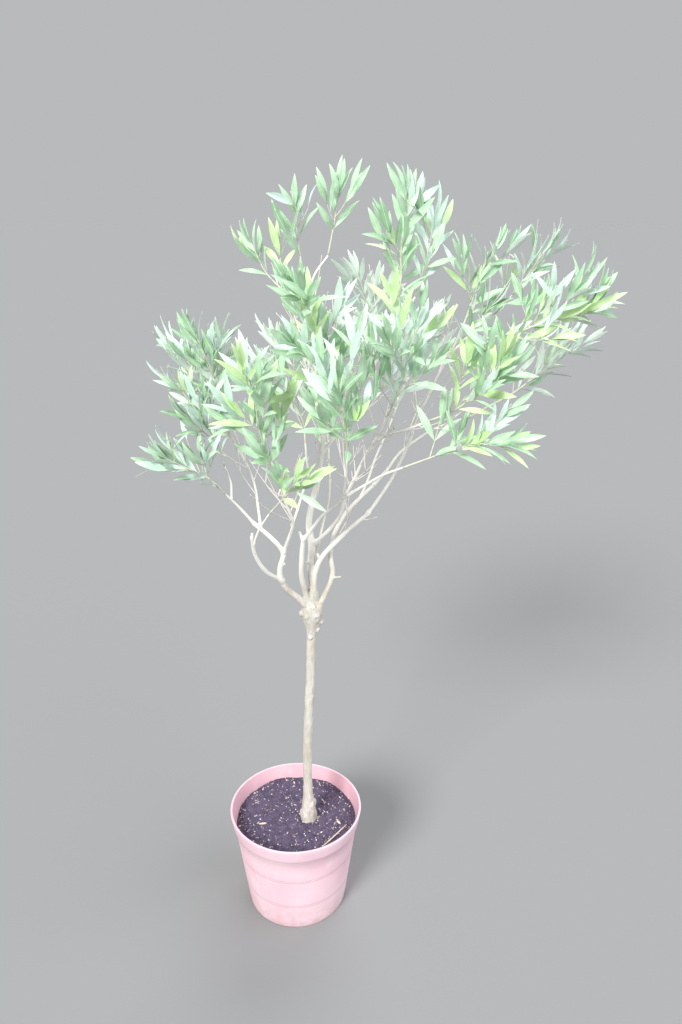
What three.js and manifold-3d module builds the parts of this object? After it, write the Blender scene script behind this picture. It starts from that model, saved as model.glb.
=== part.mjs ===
// A young olive tree grown as a standard: a bare stem with an open round head, in a plastic flower pot.
// Millimetres, +Z up. The origin is the centre of the pot's flat underside, with -Y the front, +X the right.
import * as THREE from "three";
import { mergeVertices } from "three/addons/utils/BufferGeometryUtils.js";
import Module from "manifold-3d";

const wasm = await Module();
wasm.setup();

const CLEAR = 0.3; // gap between pieces that touch
const GROW = 0.36; // how much wider a limb is where another is cut clear of it
const LIMB_TIDY = 0.05; // splinters up to this size are smoothed from a cut limb
const MASS_TIDY = 0.06; // and from a joined mass of foliage

// The pot
const POT_HEIGHT = 250;
const RIM_RADIUS = 150;
const RIM_THICKNESS = 5;
const FOOT_RADIUS = 113;
const SHOULDER_RADIUS = 141; // the wall's outside, just under the rim band
const BAND_HEIGHT = 32; // the smooth band under the rim
const BAND_STEP = 4; // how far the band stands out from the wall
const WALL = 3;
const FLOOR = 4;
const RING_HEIGHTS = [70, 150]; // two fine moulded rings, at their middle
const RING_WIDTH = 9;
const RING_DEPTH = 1;
const FOOT_EDGE = 3; // the slanted edges at the foot, under the band and on the rim
const BAND_EDGE = 2;
const RIM_EDGE = 1.5;
const POT_SIDES = 40;

// The compost
const SOIL_LEVEL = 220;
const SOIL_EDGE_DROP = 6;
const SOIL_SLOPE = 0.045; // it lies higher towards the back
const SOIL_LUMP = 3; // half the depth of its hollows
const SOIL_LUMP_SIZES = [26, 21];
const SOIL_LEVEL_RADII = [25, 75]; // level within the first round the stem, fully lumpy past the second
const SOIL_RINGS = [0.85, 0.6, 0.35]; // rings of its top, as shares of its radius

// The stem: the places it bends through, its rings as shares of its length, and its thickness
const STEM_BENDS = [[30, -8, SOIL_LEVEL - 3], [29, -10, 400], [37, -6, 570], [45, 0, 770]];
const STEM_RINGS = [0, 0.03, 0.06, 0.1, 0.15, 0.3, 0.5, 0.65, 0.8, 0.87, 0.91, 0.95, 0.98, 1];
const STEM_RADIUS = 10;
const FLARE = 8.5; // more at the foot, fading upward
const FLARE_FADE = 0.1;
const HEAD_SWELL = 13; // more at the pollarded head
const HEAD_SHARES = [0.85, 0.97]; // where the swelling starts and is full
const HEAD_ROUNDING = 0.6; // what is left of it at the very top
const STEM_SIDES = 12;

// Boughs
const BOUGH_STEP = 45; // distance between the rings
const BOUGH_NUDGE = 2.5; // how far a ring is moved aside, so that no bough runs dead straight
const BOUGH_SIDES = 6;
const THIN_SIDES = 5;
const THIN_BELOW = 6;
const STUB_SIDES = 6;
const STUB_TAPER = 0.85;

// Twigs and leaves
const TWIG_SIDES = 3;
const TWIG_STEP = 50;
const TWIG_NUDGE = 3;
const TWIG_RADII = [2.2, 1.7]; // at the root of a mass's stem, and of its side twigs
const TWIG_TIP_RADIUS = 1.1;
const TWIG_SPAN = [0.12, 0.88]; // the share of a mass's stem that may carry side twigs
const TWIG_STAGGER = 0.6; // how much of the space between two side twigs the dice may move one by
const TWIG_LENGTHS = [1.2, 0.75]; // at the stem's root and at its tip, against the length in the table
const TWIG_SIZES = [0.8, 1.15]; // the dice's least and most
const TWIG_BARE = 0.3; // the share of a side twig that stays bare
const TWIG_LEAN = 46; // degrees between a side twig and its stem
const TWIG_LEAN_SPREAD = 14;
const TWIG_TURN_SPREAD = 30; // and of its turn round the stem
const TWIG_LIFT = 0.45; // how much a side twig turns up towards the light
const GOLDEN_ANGLE = 137.5;
const LEAF_LENGTH = 74;
const LEAF_WIDTH = 17;
const LEAF_SIZES = [0.78, 1.06]; // the dice's least and most
const LEAF_ROOM = 1; // how far a leaf keeps from other masses and limbs
const LEAF_THICKNESS = 1.2;
const LEAF_WIDEST = 0.45; // the share of its length at which a leaf is widest
const LEAF_SPACING = 40; // distance between two pairs
const LEAF_PAIR_ENDS = [0.4, 0.2]; // spaces before the first pair, and past the last one
const LEAF_LEAN = [60, 24]; // degrees from the twig, near its root and near its tip
const LEAF_LEAN_SPREAD = 16;
const LEAF_LIFT = 0.06; // how much a leaf turns up towards the light
const LEAF_FACE = { way: 0.3, out: 0.8, up: 0.45 }; // its face turns along its twig, out of the crown and up
const LEAF_ROLL = 70; // degrees that its face may be turned by
const LEAF_SUNK = 1.2; // how far a leaf starts behind the middle of its twig
const END_LEAF = { share: 0.99, hand: 0.05, size: 0.85 };

// Each bough: its name, the limb it grows from and the share of that limb's length where it does, its
// thickness at root and tip, and the places that it bends through, the last of them its tip
const BOUGHS = [
  ["left_low", "trunk", 0.97, 15, 8, [-18, -28, 840], [-15, -25, 900], [-70, 10, 940]],
  ["left_outer", "left_low", 0.4, 10, 7, [-56, -60, 882], [-66, -85, 952]],
  ["front_low", "left_outer", 0.85, 4.5, 3, [-42, -105, 985], [-28, -115, 1010]],
  ["left_spread", "left_low", 0.985, 7, 4.5, [-100, 10, 975], [-126, 8, 1006]],
  ["left_mid", "left_spread", 0.8, 4.5, 3.5, [-118, 30, 1025], [-128, 32, 1056]],
  ["left_back", "left_low", 0.93, 6.5, 5, [-80, 75, 1022], [-108, 100, 1070]],
  ["left_high", "left_back", 0.85, 4.5, 3.5, [-108, 82, 1095], [-118, 74, 1140]],
  ["left_inner", "left_low", 0.66, 8, 5, [10, -52, 962], [-8, -86, 1050]],
  ["mid_back", "left_inner", 0.45, 5.5, 3.8, [36, 50, 1030], [30, 112, 1080]],
  ["front", "trunk", 0.975, 13, 9, [24, -15, 835], [30, -30, 930]],
  ["front_cross", "front", 0.96, 8, 6.5, [65, -62, 982], [118, -95, 1042]],
  ["right_low", "front_cross", 0.97, 6, 4, [160, -110, 1072], [214, -126, 1102]],
  ["front_centre", "front_cross", 0.9, 5, 3.8, [112, -125, 1082], [114, -152, 1122]],
  ["leader", "trunk", 0.985, 17, 10, [44, 14, 860], [42, 26, 945], [70, 44, 1100], [80, 50, 1188]],
  ["leader_top", "leader", 0.985, 8, 5.5, [58, 50, 1240], [44, 50, 1348]],
  ["top_left", "leader_top", 0.97, 4.5, 3.8, [26, 56, 1366], [6, 62, 1382]],
  ["top", "leader_top", 0.9, 4.5, 3.5, [50, 48, 1410], [80, 50, 1455]],
  ["top_mid", "top", 0.3, 3.8, 3.4, [38, 60, 1396], [34, 62, 1422]],
  ["twin_up", "leader", 0.96, 6.5, 4.5, [165, 26, 1270], [198, 18, 1326]],
  ["crest", "twin_up", 0.9, 4.5, 3.6, [222, 22, 1345], [240, 24, 1384]],
  ["crown_front", "leader", 0.9, 5, 3.8, [70, 8, 1178], [66, -30, 1214]],
  ["back", "leader", 0.2, 8, 5, [80, 85, 970], [78, 130, 1035]],
  ["back_high", "leader", 0.74, 7, 4.5, [112, 104, 1132], [130, 140, 1184]],
  ["cross", "leader", 0.3, 8.5, 6, [92, 8, 938], [112, -10, 1005], [170, -32, 1130]],
  ["cross_right", "cross", 0.985, 5.5, 4.2, [215, -50, 1150], [262, -74, 1174]],
  ["cross_up", "cross", 0.96, 4.5, 3.7, [180, -44, 1152], [190, -56, 1180]],
  ["right", "trunk", 0.97, 13, 8.5, [56, 5, 850], [90, 20, 895], [160, 44, 950]],
  ["right_up", "right", 0.985, 8, 5, [216, 62, 1035], [270, 71, 1175], [312, 73, 1262]],
  ["right_crest", "right_up", 0.96, 4, 3.5, [345, 76, 1300], [376, 79, 1326]],
  ["right_back", "trunk", 0.96, 12, 8, [86, 20, 812], [80, 36, 878], [112, 62, 938], [175, 104, 995]],
  ["right_long", "right_back", 0.985, 7.5, 5, [275, 158, 1085], [375, 180, 1118]],
  ["right_rear", "right_back", 0.86, 5.5, 4.3, [190, 168, 1062], [215, 200, 1112]],
  ["right_thin", "leader", 0.92, 5, 3.5, [175, -18, 1222], [320, -58, 1308]],
];

// Pruned stubs: the bough that carries it, the share along it, its way, length and thickness
const STUBS = [
  ["front", 0.94, [-0.35, -0.1, 1], 24, 7],
  ["left_outer", 0.97, [0.1, 0, 1], 12, 6.5],
  ["leader", 0.5, [1, -0.4, 0.6], 16, 5],
  ["right", 0.44, [-0.25, -0.3, 1], 22, 7],
  ["right", 0.2, [-1, -0.3, 0.3], 12, 6],
  ["right_back", 0.26, [1, -0.2, 0.2], 22, 5],
];

// Each mass of foliage: name, bough, the places its stem bends through from the bough's tip to its own,
// number of side twigs, their length, and the share of the stem that stays bare
const MASSES = [
  ["foliage_front_low", "front_low", [[12, -145, 1065], [30, -175, 1105]], 2, 44, 0.3],
  ["foliage_left_low", "left_spread", [[-165, -8, 1052], [-240, -28, 1096]], 5, 76, 0.1],
  ["foliage_left_mid", "left_mid", [[-142, 28, 1105], [-170, 12, 1190]], 4, 92, 0.1],
  ["foliage_left", "left_back", [[-150, 118, 1140], [-220, 108, 1250]], 5, 96, 0.1],
  ["foliage_left_high", "left_high", [[-140, 72, 1205], [-174, 76, 1300]], 4, 84, 0.1],
  ["foliage_front_left", "left_inner", [[-28, -116, 1130], [-52, -158, 1275]], 6, 100, 0.1],
  ["foliage_mid_back", "mid_back", [[18, 165, 1145], [-30, 222, 1265]], 5, 104, 0.1],
  ["foliage_front_right", "cross_right", [[335, -116, 1226], [372, -155, 1305]], 4, 82, 0.1],
  ["foliage_right_low", "right_low", [[300, -142, 1138], [392, -165, 1160]], 4, 64, 0.25],
  ["foliage_front", "front_centre", [[110, -192, 1180], [100, -250, 1285]], 6, 96, 0.1],
  ["foliage_top_left", "top_left", [[-24, 70, 1408], [-62, 74, 1475]], 2, 58, 0.15],
  ["foliage_top", "top", [[92, 51, 1510], [100, 52, 1565]], 1, 50, 0.3],
  ["foliage_top_mid", "top_mid", [[28, 62, 1475], [22, 60, 1540]], 2, 54, 0.2],
  ["foliage_crown_front", "crown_front", [[62, -85, 1278], [48, -140, 1395]], 6, 94, 0.1],
  ["foliage_back", "back", [[72, 195, 1125], [60, 280, 1230]], 5, 108, 0.1],
  ["foliage_back_high", "back_high", [[152, 190, 1255], [180, 262, 1385]], 5, 104, 0.1],
  ["foliage_top_right", "twin_up", [[210, 5, 1420], [216, -2, 1555]], 3, 66, 0.2],
  ["foliage_crest", "crest", [[258, 26, 1445], [270, 24, 1520]], 3, 62, 0.15],
  ["foliage_middle", "cross_up", [[206, -84, 1235], [232, -140, 1350]], 6, 94, 0.05],
  ["foliage_right_inner", "right_up", [[348, 72, 1345], [376, 60, 1462]], 4, 82, 0.1],
  ["foliage_right_crest", "right_crest", [[432, 85, 1385], [488, 78, 1470]], 3, 76, 0.1],
  ["foliage_right", "right_long", [[485, 188, 1180], [570, 176, 1290]], 5, 88, 0.4],
  ["foliage_right_rear", "right_rear", [[248, 240, 1190], [298, 298, 1305]], 5, 102, 0.1],
  ["foliage_right_far", "right_thin", [[425, -48, 1334], [560, -25, 1372]], 5, 80, 0.25],
];

const BARK = new THREE.MeshStandardMaterial({ color: 0xc9bda6, roughness: 0.85 });
const LEAVES = new THREE.MeshStandardMaterial({ color: 0xa9c79a, roughness: 0.6 });
const PLASTIC = new THREE.MeshStandardMaterial({ color: 0xe9c3b9, roughness: 0.55 });
const COMPOST = new THREE.MeshStandardMaterial({ color: 0x4b3f42, roughness: 1 });

const UP = new THREE.Vector3(0, 0, 1);
const CROWN_MIDDLE = new THREE.Vector3(110, 160, 0);
const FACING = new THREE.Vector3(0.5, 1, 0); // leaves face the front or the back more than a side
const radians = THREE.MathUtils.degToRad;
const between = THREE.MathUtils.lerp;
const vector = (place) => new THREE.Vector3(...place);

// Even draws from 0 to 1, fixed by a name
function diceOf(name) {
  let state = 7;
  for (const letter of name) state = (state * 31 + letter.charCodeAt(0)) % 65521;
  return () => {
    state = (state * 1664525 + 1013904223) % 4294967296;
    return state / 4294967296;
  };
}

// Solids and meshes

function solidOf(geometry) {
  geometry.deleteAttribute("normal");
  geometry.deleteAttribute("uv");
  const merged = mergeVertices(geometry, 1e-4);
  const vertProperties = merged.attributes.position.array;
  const triVerts = new Uint32Array(merged.index.array);
  return new wasm.Manifold(new wasm.Mesh({ numProp: 3, vertProperties, triVerts }));
}

function meshOf(name, solid, material) {
  const { vertProperties, triVerts } = solid.getMesh();
  const geometry = new THREE.BufferGeometry();
  geometry.setAttribute("position", new THREE.BufferAttribute(vertProperties, 3));
  geometry.setIndex(new THREE.BufferAttribute(triVerts, 1));
  geometry.computeVertexNormals();
  const mesh = new THREE.Mesh(geometry, material);
  mesh.name = name;
  return mesh;
}

function boxOf(solid) {
  const { min, max } = solid.boundingBox();
  return new THREE.Box3(vector(min), vector(max));
}

// The largest piece, with splinters left by joining smoothed away
function largestPiece(solid, tidy) {
  const largest = solid.decompose().sort((a, b) => b.volume() - a.volume())[0];
  return largest.asOriginal().simplify(tidy);
}

// Paths

// Evenly spaced points on a smooth bend through the given places, each moved aside by the dice
function bentPath(places, step, nudge, dice) {
  const bend = new THREE.CatmullRomCurve3(places);
  const steps = Math.max(2, Math.round(bend.getLength() / step));
  const points = bend.getSpacedPoints(steps);
  for (const point of points.slice(1, -1)) {
    point.add(vector([dice() - 0.5, dice() - 0.5, dice() - 0.5]).multiplyScalar(2 * nudge));
  }
  return points;
}

// The point at a share of a path, and the way the path runs there
function along(points, share) {
  const place = share * (points.length - 1);
  const i = Math.min(points.length - 2, Math.floor(place));
  const way = points[i + 1].clone().sub(points[i]);
  return { point: points[i].clone().addScaledVector(way, place - i), way: way.normalize() };
}

// A closed tube with a ring of the given radius square to the path at each of its points
function tube(points, radii, sides) {
  const last = points.length - 1;
  let side = new THREE.Vector3(1, 0, 0);
  const rings = points.map((point, i) => {
    const way = points[Math.min(last, i + 1)].clone().sub(points[Math.max(0, i - 1)]).normalize();
    if (Math.abs(side.dot(way)) > 0.9) side = new THREE.Vector3(0, 1, 0);
    side = side.clone().addScaledVector(way, -side.dot(way)).normalize();
    return { point, side, other: way.clone().cross(side), radius: radii[i] };
  });
  const geometry = new THREE.CylinderGeometry(1, 1, 1, sides, last);
  const place = geometry.attributes.position;
  for (let i = 0; i < place.count; i++) {
    const ring = rings[Math.round((place.getY(i) + 0.5) * last)];
    const moved = ring.point.clone().addScaledVector(ring.side, place.getZ(i) * ring.radius);
    moved.addScaledVector(ring.other, place.getX(i) * ring.radius);
    place.setXYZ(i, moved.x, moved.y, moved.z);
  }
  return solidOf(geometry);
}

// The pot and its compost, turned round the upright axis

const wallSlope = (SHOULDER_RADIUS - FOOT_RADIUS) / (POT_HEIGHT - BAND_HEIGHT);
const wallOutside = (height) => FOOT_RADIUS + wallSlope * height;
const wallInside = (height) => wallOutside(height) - WALL;

function turned(profile) {
  const points = profile.map(([radius, height]) => new THREE.Vector2(radius, height));
  return new THREE.LatheGeometry(points, POT_SIDES).rotateX(Math.PI / 2);
}

function potSolid() {
  const bandFoot = POT_HEIGHT - BAND_HEIGHT;
  const profile = [[0, 0], [FOOT_RADIUS - FOOT_EDGE, 0], [wallOutside(FOOT_EDGE), FOOT_EDGE]];
  for (const middle of RING_HEIGHTS) {
    const [low, high] = [middle - RING_WIDTH / 2, middle + RING_WIDTH / 2];
    profile.push([wallOutside(low), low], [wallOutside(middle) + RING_DEPTH, middle]);
    profile.push([wallOutside(high), high]);
  }
  profile.push([SHOULDER_RADIUS, bandFoot], [SHOULDER_RADIUS + BAND_STEP, bandFoot + BAND_EDGE]);
  profile.push([RIM_RADIUS, POT_HEIGHT - RIM_EDGE], [RIM_RADIUS - RIM_EDGE, POT_HEIGHT]);
  profile.push([RIM_RADIUS - RIM_THICKNESS, POT_HEIGHT], [wallInside(bandFoot), bandFoot]);
  profile.push([wallInside(FLOOR), FLOOR], [0, FLOOR]);
  return solidOf(turned(profile));
}

// The compost fills the pot; its top is lumpy, and level where the stem stands
function soilSolid() {
  const base = FLOOR + CLEAR;
  const edge = SOIL_LEVEL - SOIL_EDGE_DROP;
  const edgeRadius = wallInside(edge) - CLEAR;
  const rings = SOIL_RINGS.map((share) => [share * edgeRadius, SOIL_LEVEL]);
  const sides = [[0, base], [wallInside(base) - CLEAR, base], [edgeRadius, edge]];
  const geometry = turned([...sides, ...rings, [0, SOIL_LEVEL]]);
  const place = geometry.attributes.position;
  for (let i = 0; i < place.count; i++) {
    const [x, y, z] = [place.getX(i), place.getY(i), place.getZ(i)];
    if (z < SOIL_LEVEL - 1) continue;
    const away = Math.hypot(x - STEM_BENDS[0][0], y - STEM_BENDS[0][1]);
    const lumps = 1 + Math.sin(x / SOIL_LUMP_SIZES[0] + 1) * Math.cos(y / SOIL_LUMP_SIZES[1]);
    const share = THREE.MathUtils.smoothstep(away, ...SOIL_LEVEL_RADII);
    place.setZ(i, z + share * (SOIL_SLOPE * y - SOIL_LUMP * lumps));
  }
  return solidOf(geometry);
}

// Limbs: the stem and the boughs, each cut clear of those that came before it

const limbs = new Map(); // by name: the limb's points, its box, and its solid grown by the gap
const placed = []; // every solid that new foliage keeps clear of, with its box and, on foliage, its owner

function cutClear(solid) {
  const box = boxOf(solid);
  let left = solid;
  for (const limb of limbs.values()) {
    if (limb.box.intersectsBox(box)) left = left.subtract(limb.grown);
  }
  return largestPiece(left, LIMB_TIDY);
}

function keepLimb(name, points, radii, sides, stubs = []) {
  const whole = stubs.reduce((sum, stub) => sum.add(stub.solid), tube(points, radii, sides));
  const solid = cutClear(whole);
  const longer = [...points];
  longer[0] = points[0].clone().addScaledVector(along(points, 0).way, -CLEAR);
  longer[points.length - 1] = points.at(-1).clone().addScaledVector(along(points, 1).way, CLEAR);
  const wider = tube(longer, radii.map((radius) => radius + GROW), sides);
  const grown = stubs.reduce((sum, stub) => sum.add(stub.grown), wider);
  limbs.set(name, { points, grown, box: boxOf(grown) });
  placed.push({ solid: grown, box: boxOf(grown) });
  return solid;
}

// Flared at the foot, and swollen at the head that the boughs spring from
function stemRadius(share) {
  const flare = FLARE * Math.exp(-((share / FLARE_FADE) ** 2));
  const swell = HEAD_SWELL * THREE.MathUtils.smoothstep(share, ...HEAD_SHARES);
  return STEM_RADIUS + flare + swell * (share < 1 ? 1 : HEAD_ROUNDING);
}

// The stem is cut flat where it meets the compost
function stemSolid() {
  const bend = new THREE.CatmullRomCurve3(STEM_BENDS.map(vector));
  const points = STEM_RINGS.map((share) => bend.getPointAt(share));
  const stem = keepLimb("trunk", points, STEM_RINGS.map(stemRadius), STEM_SIDES);
  limbs.get("trunk").points = bend.getSpacedPoints(100);
  const below = new THREE.BoxGeometry(RIM_RADIUS, RIM_RADIUS, SOIL_LEVEL);
  below.translate(...STEM_BENDS[0].slice(0, 2), SOIL_LEVEL / 2 + CLEAR);
  return stem.subtract(solidOf(below));
}

// A pruned stub, with its solid grown by the gap
function stubOf([, share, way, length, thickness], points) {
  const start = along(points, share).point;
  const end = start.clone().addScaledVector(vector(way).normalize(), length);
  const tip = end.clone().addScaledVector(vector(way).normalize(), CLEAR);
  const radii = [thickness / 2, (STUB_TAPER * thickness) / 2];
  const solid = tube([start, end], radii, STUB_SIDES);
  const grown = tube([start, tip], radii.map((radius) => radius + GROW), STUB_SIDES);
  return { solid, grown };
}

function boughSolid([name, parent, share, root, tip, ...bends]) {
  const start = along(limbs.get(parent).points, share).point;
  const points = bentPath([start, ...bends.map(vector)], BOUGH_STEP, BOUGH_NUDGE, diceOf(name));
  const radii = points.map((_, i) => between(root, tip, i / (points.length - 1)) / 2);
  const stubs = STUBS.filter(([carrier]) => carrier === name).map((row) => stubOf(row, points));
  return keepLimb(name, points, radii, root > THIN_BELOW ? BOUGH_SIDES : THIN_SIDES, stubs);
}

// Foliage: a stem with side twigs that leave it in turn round a spiral, and leaves in pairs along them

function sideTwig(stem, share, angle, length, dice) {
  const { point, way } = along(stem, share);
  const side = UP.clone().cross(way).normalize().applyAxisAngle(way, radians(angle));
  const lean = radians(TWIG_LEAN + TWIG_LEAN_SPREAD * (dice() - 0.5));
  const first = way.clone().multiplyScalar(Math.cos(lean)).addScaledVector(side, Math.sin(lean));
  const lifted = first.addScaledVector(UP, TWIG_LIFT).normalize();
  return [point, point.clone().addScaledVector(lifted, length)];
}

function growTwigs([, bough, bends, count, twigLength, bare], dice) {
  const start = limbs.get(bough).points.at(-1);
  const stem = bentPath([start, ...bends.map(vector)], TWIG_STEP, TWIG_NUDGE, dice);
  const twigs = [{ points: stem, root: TWIG_RADII[0], bare }];
  const turn = 360 * dice();
  for (let i = 0; i < count; i++) {
    const place = (i + TWIG_STAGGER * dice()) / count;
    const share = between(Math.max(bare, TWIG_SPAN[0]), TWIG_SPAN[1], place);
    const length = twigLength * between(...TWIG_LENGTHS, share) * between(...TWIG_SIZES, dice());
    const angle = turn + i * GOLDEN_ANGLE + TWIG_TURN_SPREAD * dice();
    twigs.push({ points: sideTwig(stem, share, angle, length, dice), root: TWIG_RADII[1], bare: TWIG_BARE });
  }
  return twigs;
}

// A leaf on one hand of its twig, 1 or -1; a hand near 0 carries on the twig's own way
function leafOn(points, share, angle, hand, dice) {
  const { point, way } = along(points, share);
  const side = UP.clone().cross(way).normalize().applyAxisAngle(way, radians(angle));
  const lean = hand * radians(between(...LEAF_LEAN, share) + LEAF_LEAN_SPREAD * (dice() - 0.5));
  const leafWay = way.clone().multiplyScalar(Math.cos(lean)).addScaledVector(side, Math.sin(lean));
  leafWay.addScaledVector(UP, LEAF_LIFT).normalize();
  const out = point.clone().sub(CROWN_MIDDLE).multiply(FACING).normalize();
  const face = way.clone().multiplyScalar(LEAF_FACE.way).addScaledVector(out, LEAF_FACE.out);
  face.addScaledVector(UP, LEAF_FACE.up);
  face.addScaledVector(leafWay, -face.dot(leafWay)).normalize();
  face.applyAxisAngle(leafWay, radians(LEAF_ROLL * (dice() - 0.5)));
  return { point, way: leafWay, face, size: between(...LEAF_SIZES, dice()) };
}

// A pair of leaves at each node, a quarter turn on from the last pair, and one leaf at the tip
function growLeaves({ points, bare }, dice) {
  const length = points[0].distanceTo(points.at(-1));
  const pairs = Math.max(1, Math.round((length * (1 - bare)) / LEAF_SPACING));
  const turn = 180 * dice();
  const leaves = [];
  for (let i = 0; i < pairs; i++) {
    const share = between(bare, 1, (i + LEAF_PAIR_ENDS[0]) / (pairs + LEAF_PAIR_ENDS[1]));
    for (const hand of [1, -1]) leaves.push(leafOn(points, share, turn + 90 * i, hand, dice));
  }
  const last = leafOn(points, END_LEAF.share, turn + 90 * pairs, END_LEAF.hand, dice);
  return [...leaves, { ...last, size: last.size * END_LEAF.size }];
}

// A flat lens of eight faces, its root sunk in its twig
function leafSolid({ point, way, face, size }, room = 0) {
  const across = way.clone().cross(face).normalize();
  const length = LEAF_LENGTH * size + room;
  const widest = point.clone().addScaledVector(way, length * LEAF_WIDEST);
  const geometry = new THREE.OctahedronGeometry(1);
  const place = geometry.attributes.position;
  for (let i = 0; i < place.count; i++) {
    const reach = place.getY(i) > 0 ? (1 - LEAF_WIDEST) * length : LEAF_WIDEST * length + LEAF_SUNK;
    const moved = widest.clone().addScaledVector(way, place.getY(i) * reach);
    moved.addScaledVector(across, place.getX(i) * ((LEAF_WIDTH * size) / 2 + room));
    moved.addScaledVector(face, place.getZ(i) * (LEAF_THICKNESS / 2 + room));
    place.setXYZ(i, moved.x, moved.y, moved.z);
  }
  return solidOf(geometry);
}

// Whether a piece meets none of the given ones
function isFree(solid, others) {
  const box = boxOf(solid);
  return others.every((other) => !other.box.intersectsBox(box) || other.solid.intersect(solid).isEmpty());
}

function woodOf({ points, root }, extra = 0) {
  const radii = points.map((_, i) => between(root, TWIG_TIP_RADIUS, i / (points.length - 1)) + extra);
  return tube(points, radii, TWIG_SIDES);
}

// All stems are placed before any leaf, so that the leaves of one mass keep clear of the next one's stem
function startMass(row) {
  const dice = diceOf(row[0]);
  const twigs = growTwigs(row, dice);
  const room = woodOf(twigs[0], LEAF_ROOM);
  placed.push({ owner: row[0], solid: room, box: boxOf(room) });
  return { name: row[0], dice, twigs };
}

// A twig or leaf that would meet a limb or anything placed before it is left out
function massSolid({ name, dice, twigs }) {
  const strange = placed.filter((other) => other.owner !== name);
  const own = [];
  const keep = (solid) => own.push({ owner: name, solid, box: boxOf(solid) });
  for (const twig of twigs) {
    const leaves = growLeaves(twig, dice);
    const isStem = own.length === 0;
    const wood = isStem ? cutClear(woodOf(twig)) : woodOf(twig);
    if (!isStem && !isFree(wood, [...strange, ...own.slice(1)])) continue;
    const before = own.slice();
    keep(wood);
    for (const leaf of leaves) {
      const blade = leafSolid(leaf);
      const outside = largestPiece(blade.subtract(wood), 0);
      if (!isFree(leafSolid(leaf, LEAF_ROOM), strange) || !isFree(outside, before)) continue;
      before.push({ solid: outside, box: boxOf(outside) });
      keep(blade);
    }
  }
  placed.push(...own);
  return largestPiece(wasm.Manifold.union(own.map((piece) => piece.solid)), MASS_TIDY);
}

const plant = new THREE.Group();
plant.add(meshOf("pot", potSolid(), PLASTIC));
plant.add(meshOf("soil", soilSolid(), COMPOST));
plant.add(meshOf("trunk", stemSolid(), BARK));
for (const row of BOUGHS) plant.add(meshOf("bough_" + row[0], boughSolid(row), BARK));
for (const mass of MASSES.map(startMass)) plant.add(meshOf(mass.name, massSolid(mass), LEAVES));

export default plant;
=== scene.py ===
# A young olive tree grown as a standard, in a plastic flower pot: its bark, compost, twigs and leaves.
# The growing rules and tables are those of the part's source, in millimetres, carried on to finer twigs.
import math
from collections import namedtuple

import bpy
import numpy as np
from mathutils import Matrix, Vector, kdtree, noise


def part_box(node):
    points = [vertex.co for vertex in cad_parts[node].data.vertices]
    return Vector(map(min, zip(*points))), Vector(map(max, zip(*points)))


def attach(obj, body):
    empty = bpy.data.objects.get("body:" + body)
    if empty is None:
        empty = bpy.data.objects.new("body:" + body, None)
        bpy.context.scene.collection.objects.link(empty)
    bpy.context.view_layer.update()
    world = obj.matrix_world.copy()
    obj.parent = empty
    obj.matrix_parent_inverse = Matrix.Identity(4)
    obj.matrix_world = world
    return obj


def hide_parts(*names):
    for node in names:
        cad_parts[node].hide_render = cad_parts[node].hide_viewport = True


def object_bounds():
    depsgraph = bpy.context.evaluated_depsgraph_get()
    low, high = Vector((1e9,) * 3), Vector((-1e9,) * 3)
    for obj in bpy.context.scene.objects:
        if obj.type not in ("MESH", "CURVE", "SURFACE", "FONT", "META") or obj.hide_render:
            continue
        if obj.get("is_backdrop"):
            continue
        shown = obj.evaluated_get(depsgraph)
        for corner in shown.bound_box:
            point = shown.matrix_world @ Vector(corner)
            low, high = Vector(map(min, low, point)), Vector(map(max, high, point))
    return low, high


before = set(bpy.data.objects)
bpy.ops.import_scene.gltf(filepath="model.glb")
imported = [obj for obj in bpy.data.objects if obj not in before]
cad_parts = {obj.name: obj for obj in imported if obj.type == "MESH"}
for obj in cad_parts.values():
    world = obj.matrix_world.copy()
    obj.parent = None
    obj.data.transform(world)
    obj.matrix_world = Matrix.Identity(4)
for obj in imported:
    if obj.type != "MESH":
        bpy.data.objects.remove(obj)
CAD_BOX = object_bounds()

MM = 0.001

# The camera, the floor and the light
CAMERA_PLACE = (0.104, -1.486, 1.525)
CAMERA_TILT = 69.54  # degrees up from looking straight down
CAMERA_LENS = 28
CAMERA_FILM = 36  # the height of the film
FLOOR_RADIUS = 150
FLOOR_SIDES = 96
FLOOR_COLOUR = (0.2608, 0.2657, 0.2694)
SKY_COLOUR = (0.96, 0.98, 1)
SKY_STRENGTH = 0.5
LAMPS = (  # name, the way its light comes from, strength, spread in degrees and tint
    ("key", (-0.45, -0.8, 0.66), 4.0, 20, (1, 0.99, 0.97)),
    ("fill", (0.9, -0.35, 0.55), 2.0, 70, (0.95, 0.97, 1)),
    ("back", (0.25, 0.9, 0.75), 1.6, 50, (1, 1, 1)),
)

# The pot
POT_HEIGHT = 250
RIM_RADIUS = 150
RIM_THICKNESS = 5
FOOT_RADIUS = 113
SHOULDER_RADIUS = 141
BAND_HEIGHT = 32
BAND_STEP = 4
WALL = 3
FLOOR = 4
RING_HEIGHTS = (70, 150)
RING_WIDTH = 9
RING_RISE = 0.2
RING_RAMP = 0.12  # the share of its width along which it rises
RING_POINTS = 31
RING_ABOVE = 30  # from its middle up to the next point of the wall
GROOVES = (-0.3, 0.3)  # where the shallow grooves along it are, as shares of its width
GROOVE_WIDTH = 2.8
GROOVE_DEPTH = 0.35
WALL_HEIGHTS = (20, 45)  # points of the plain wall, outside and inside
INSIDE_HEIGHTS = (160, 80)
BAND_SHARES = (0.3, 0.6)
UNDER_BAND = ((-0.4, -1.2), (0.8, -0.2))  # the soft corner under the band: out from the shoulder, and up
BEHIND_BAND = ((1.2, 6), (0, -3))  # and the slant inside, where the wall gets thinner
FOOT_RECESS = 0.6  # how far the middle of the underside is raised
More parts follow.
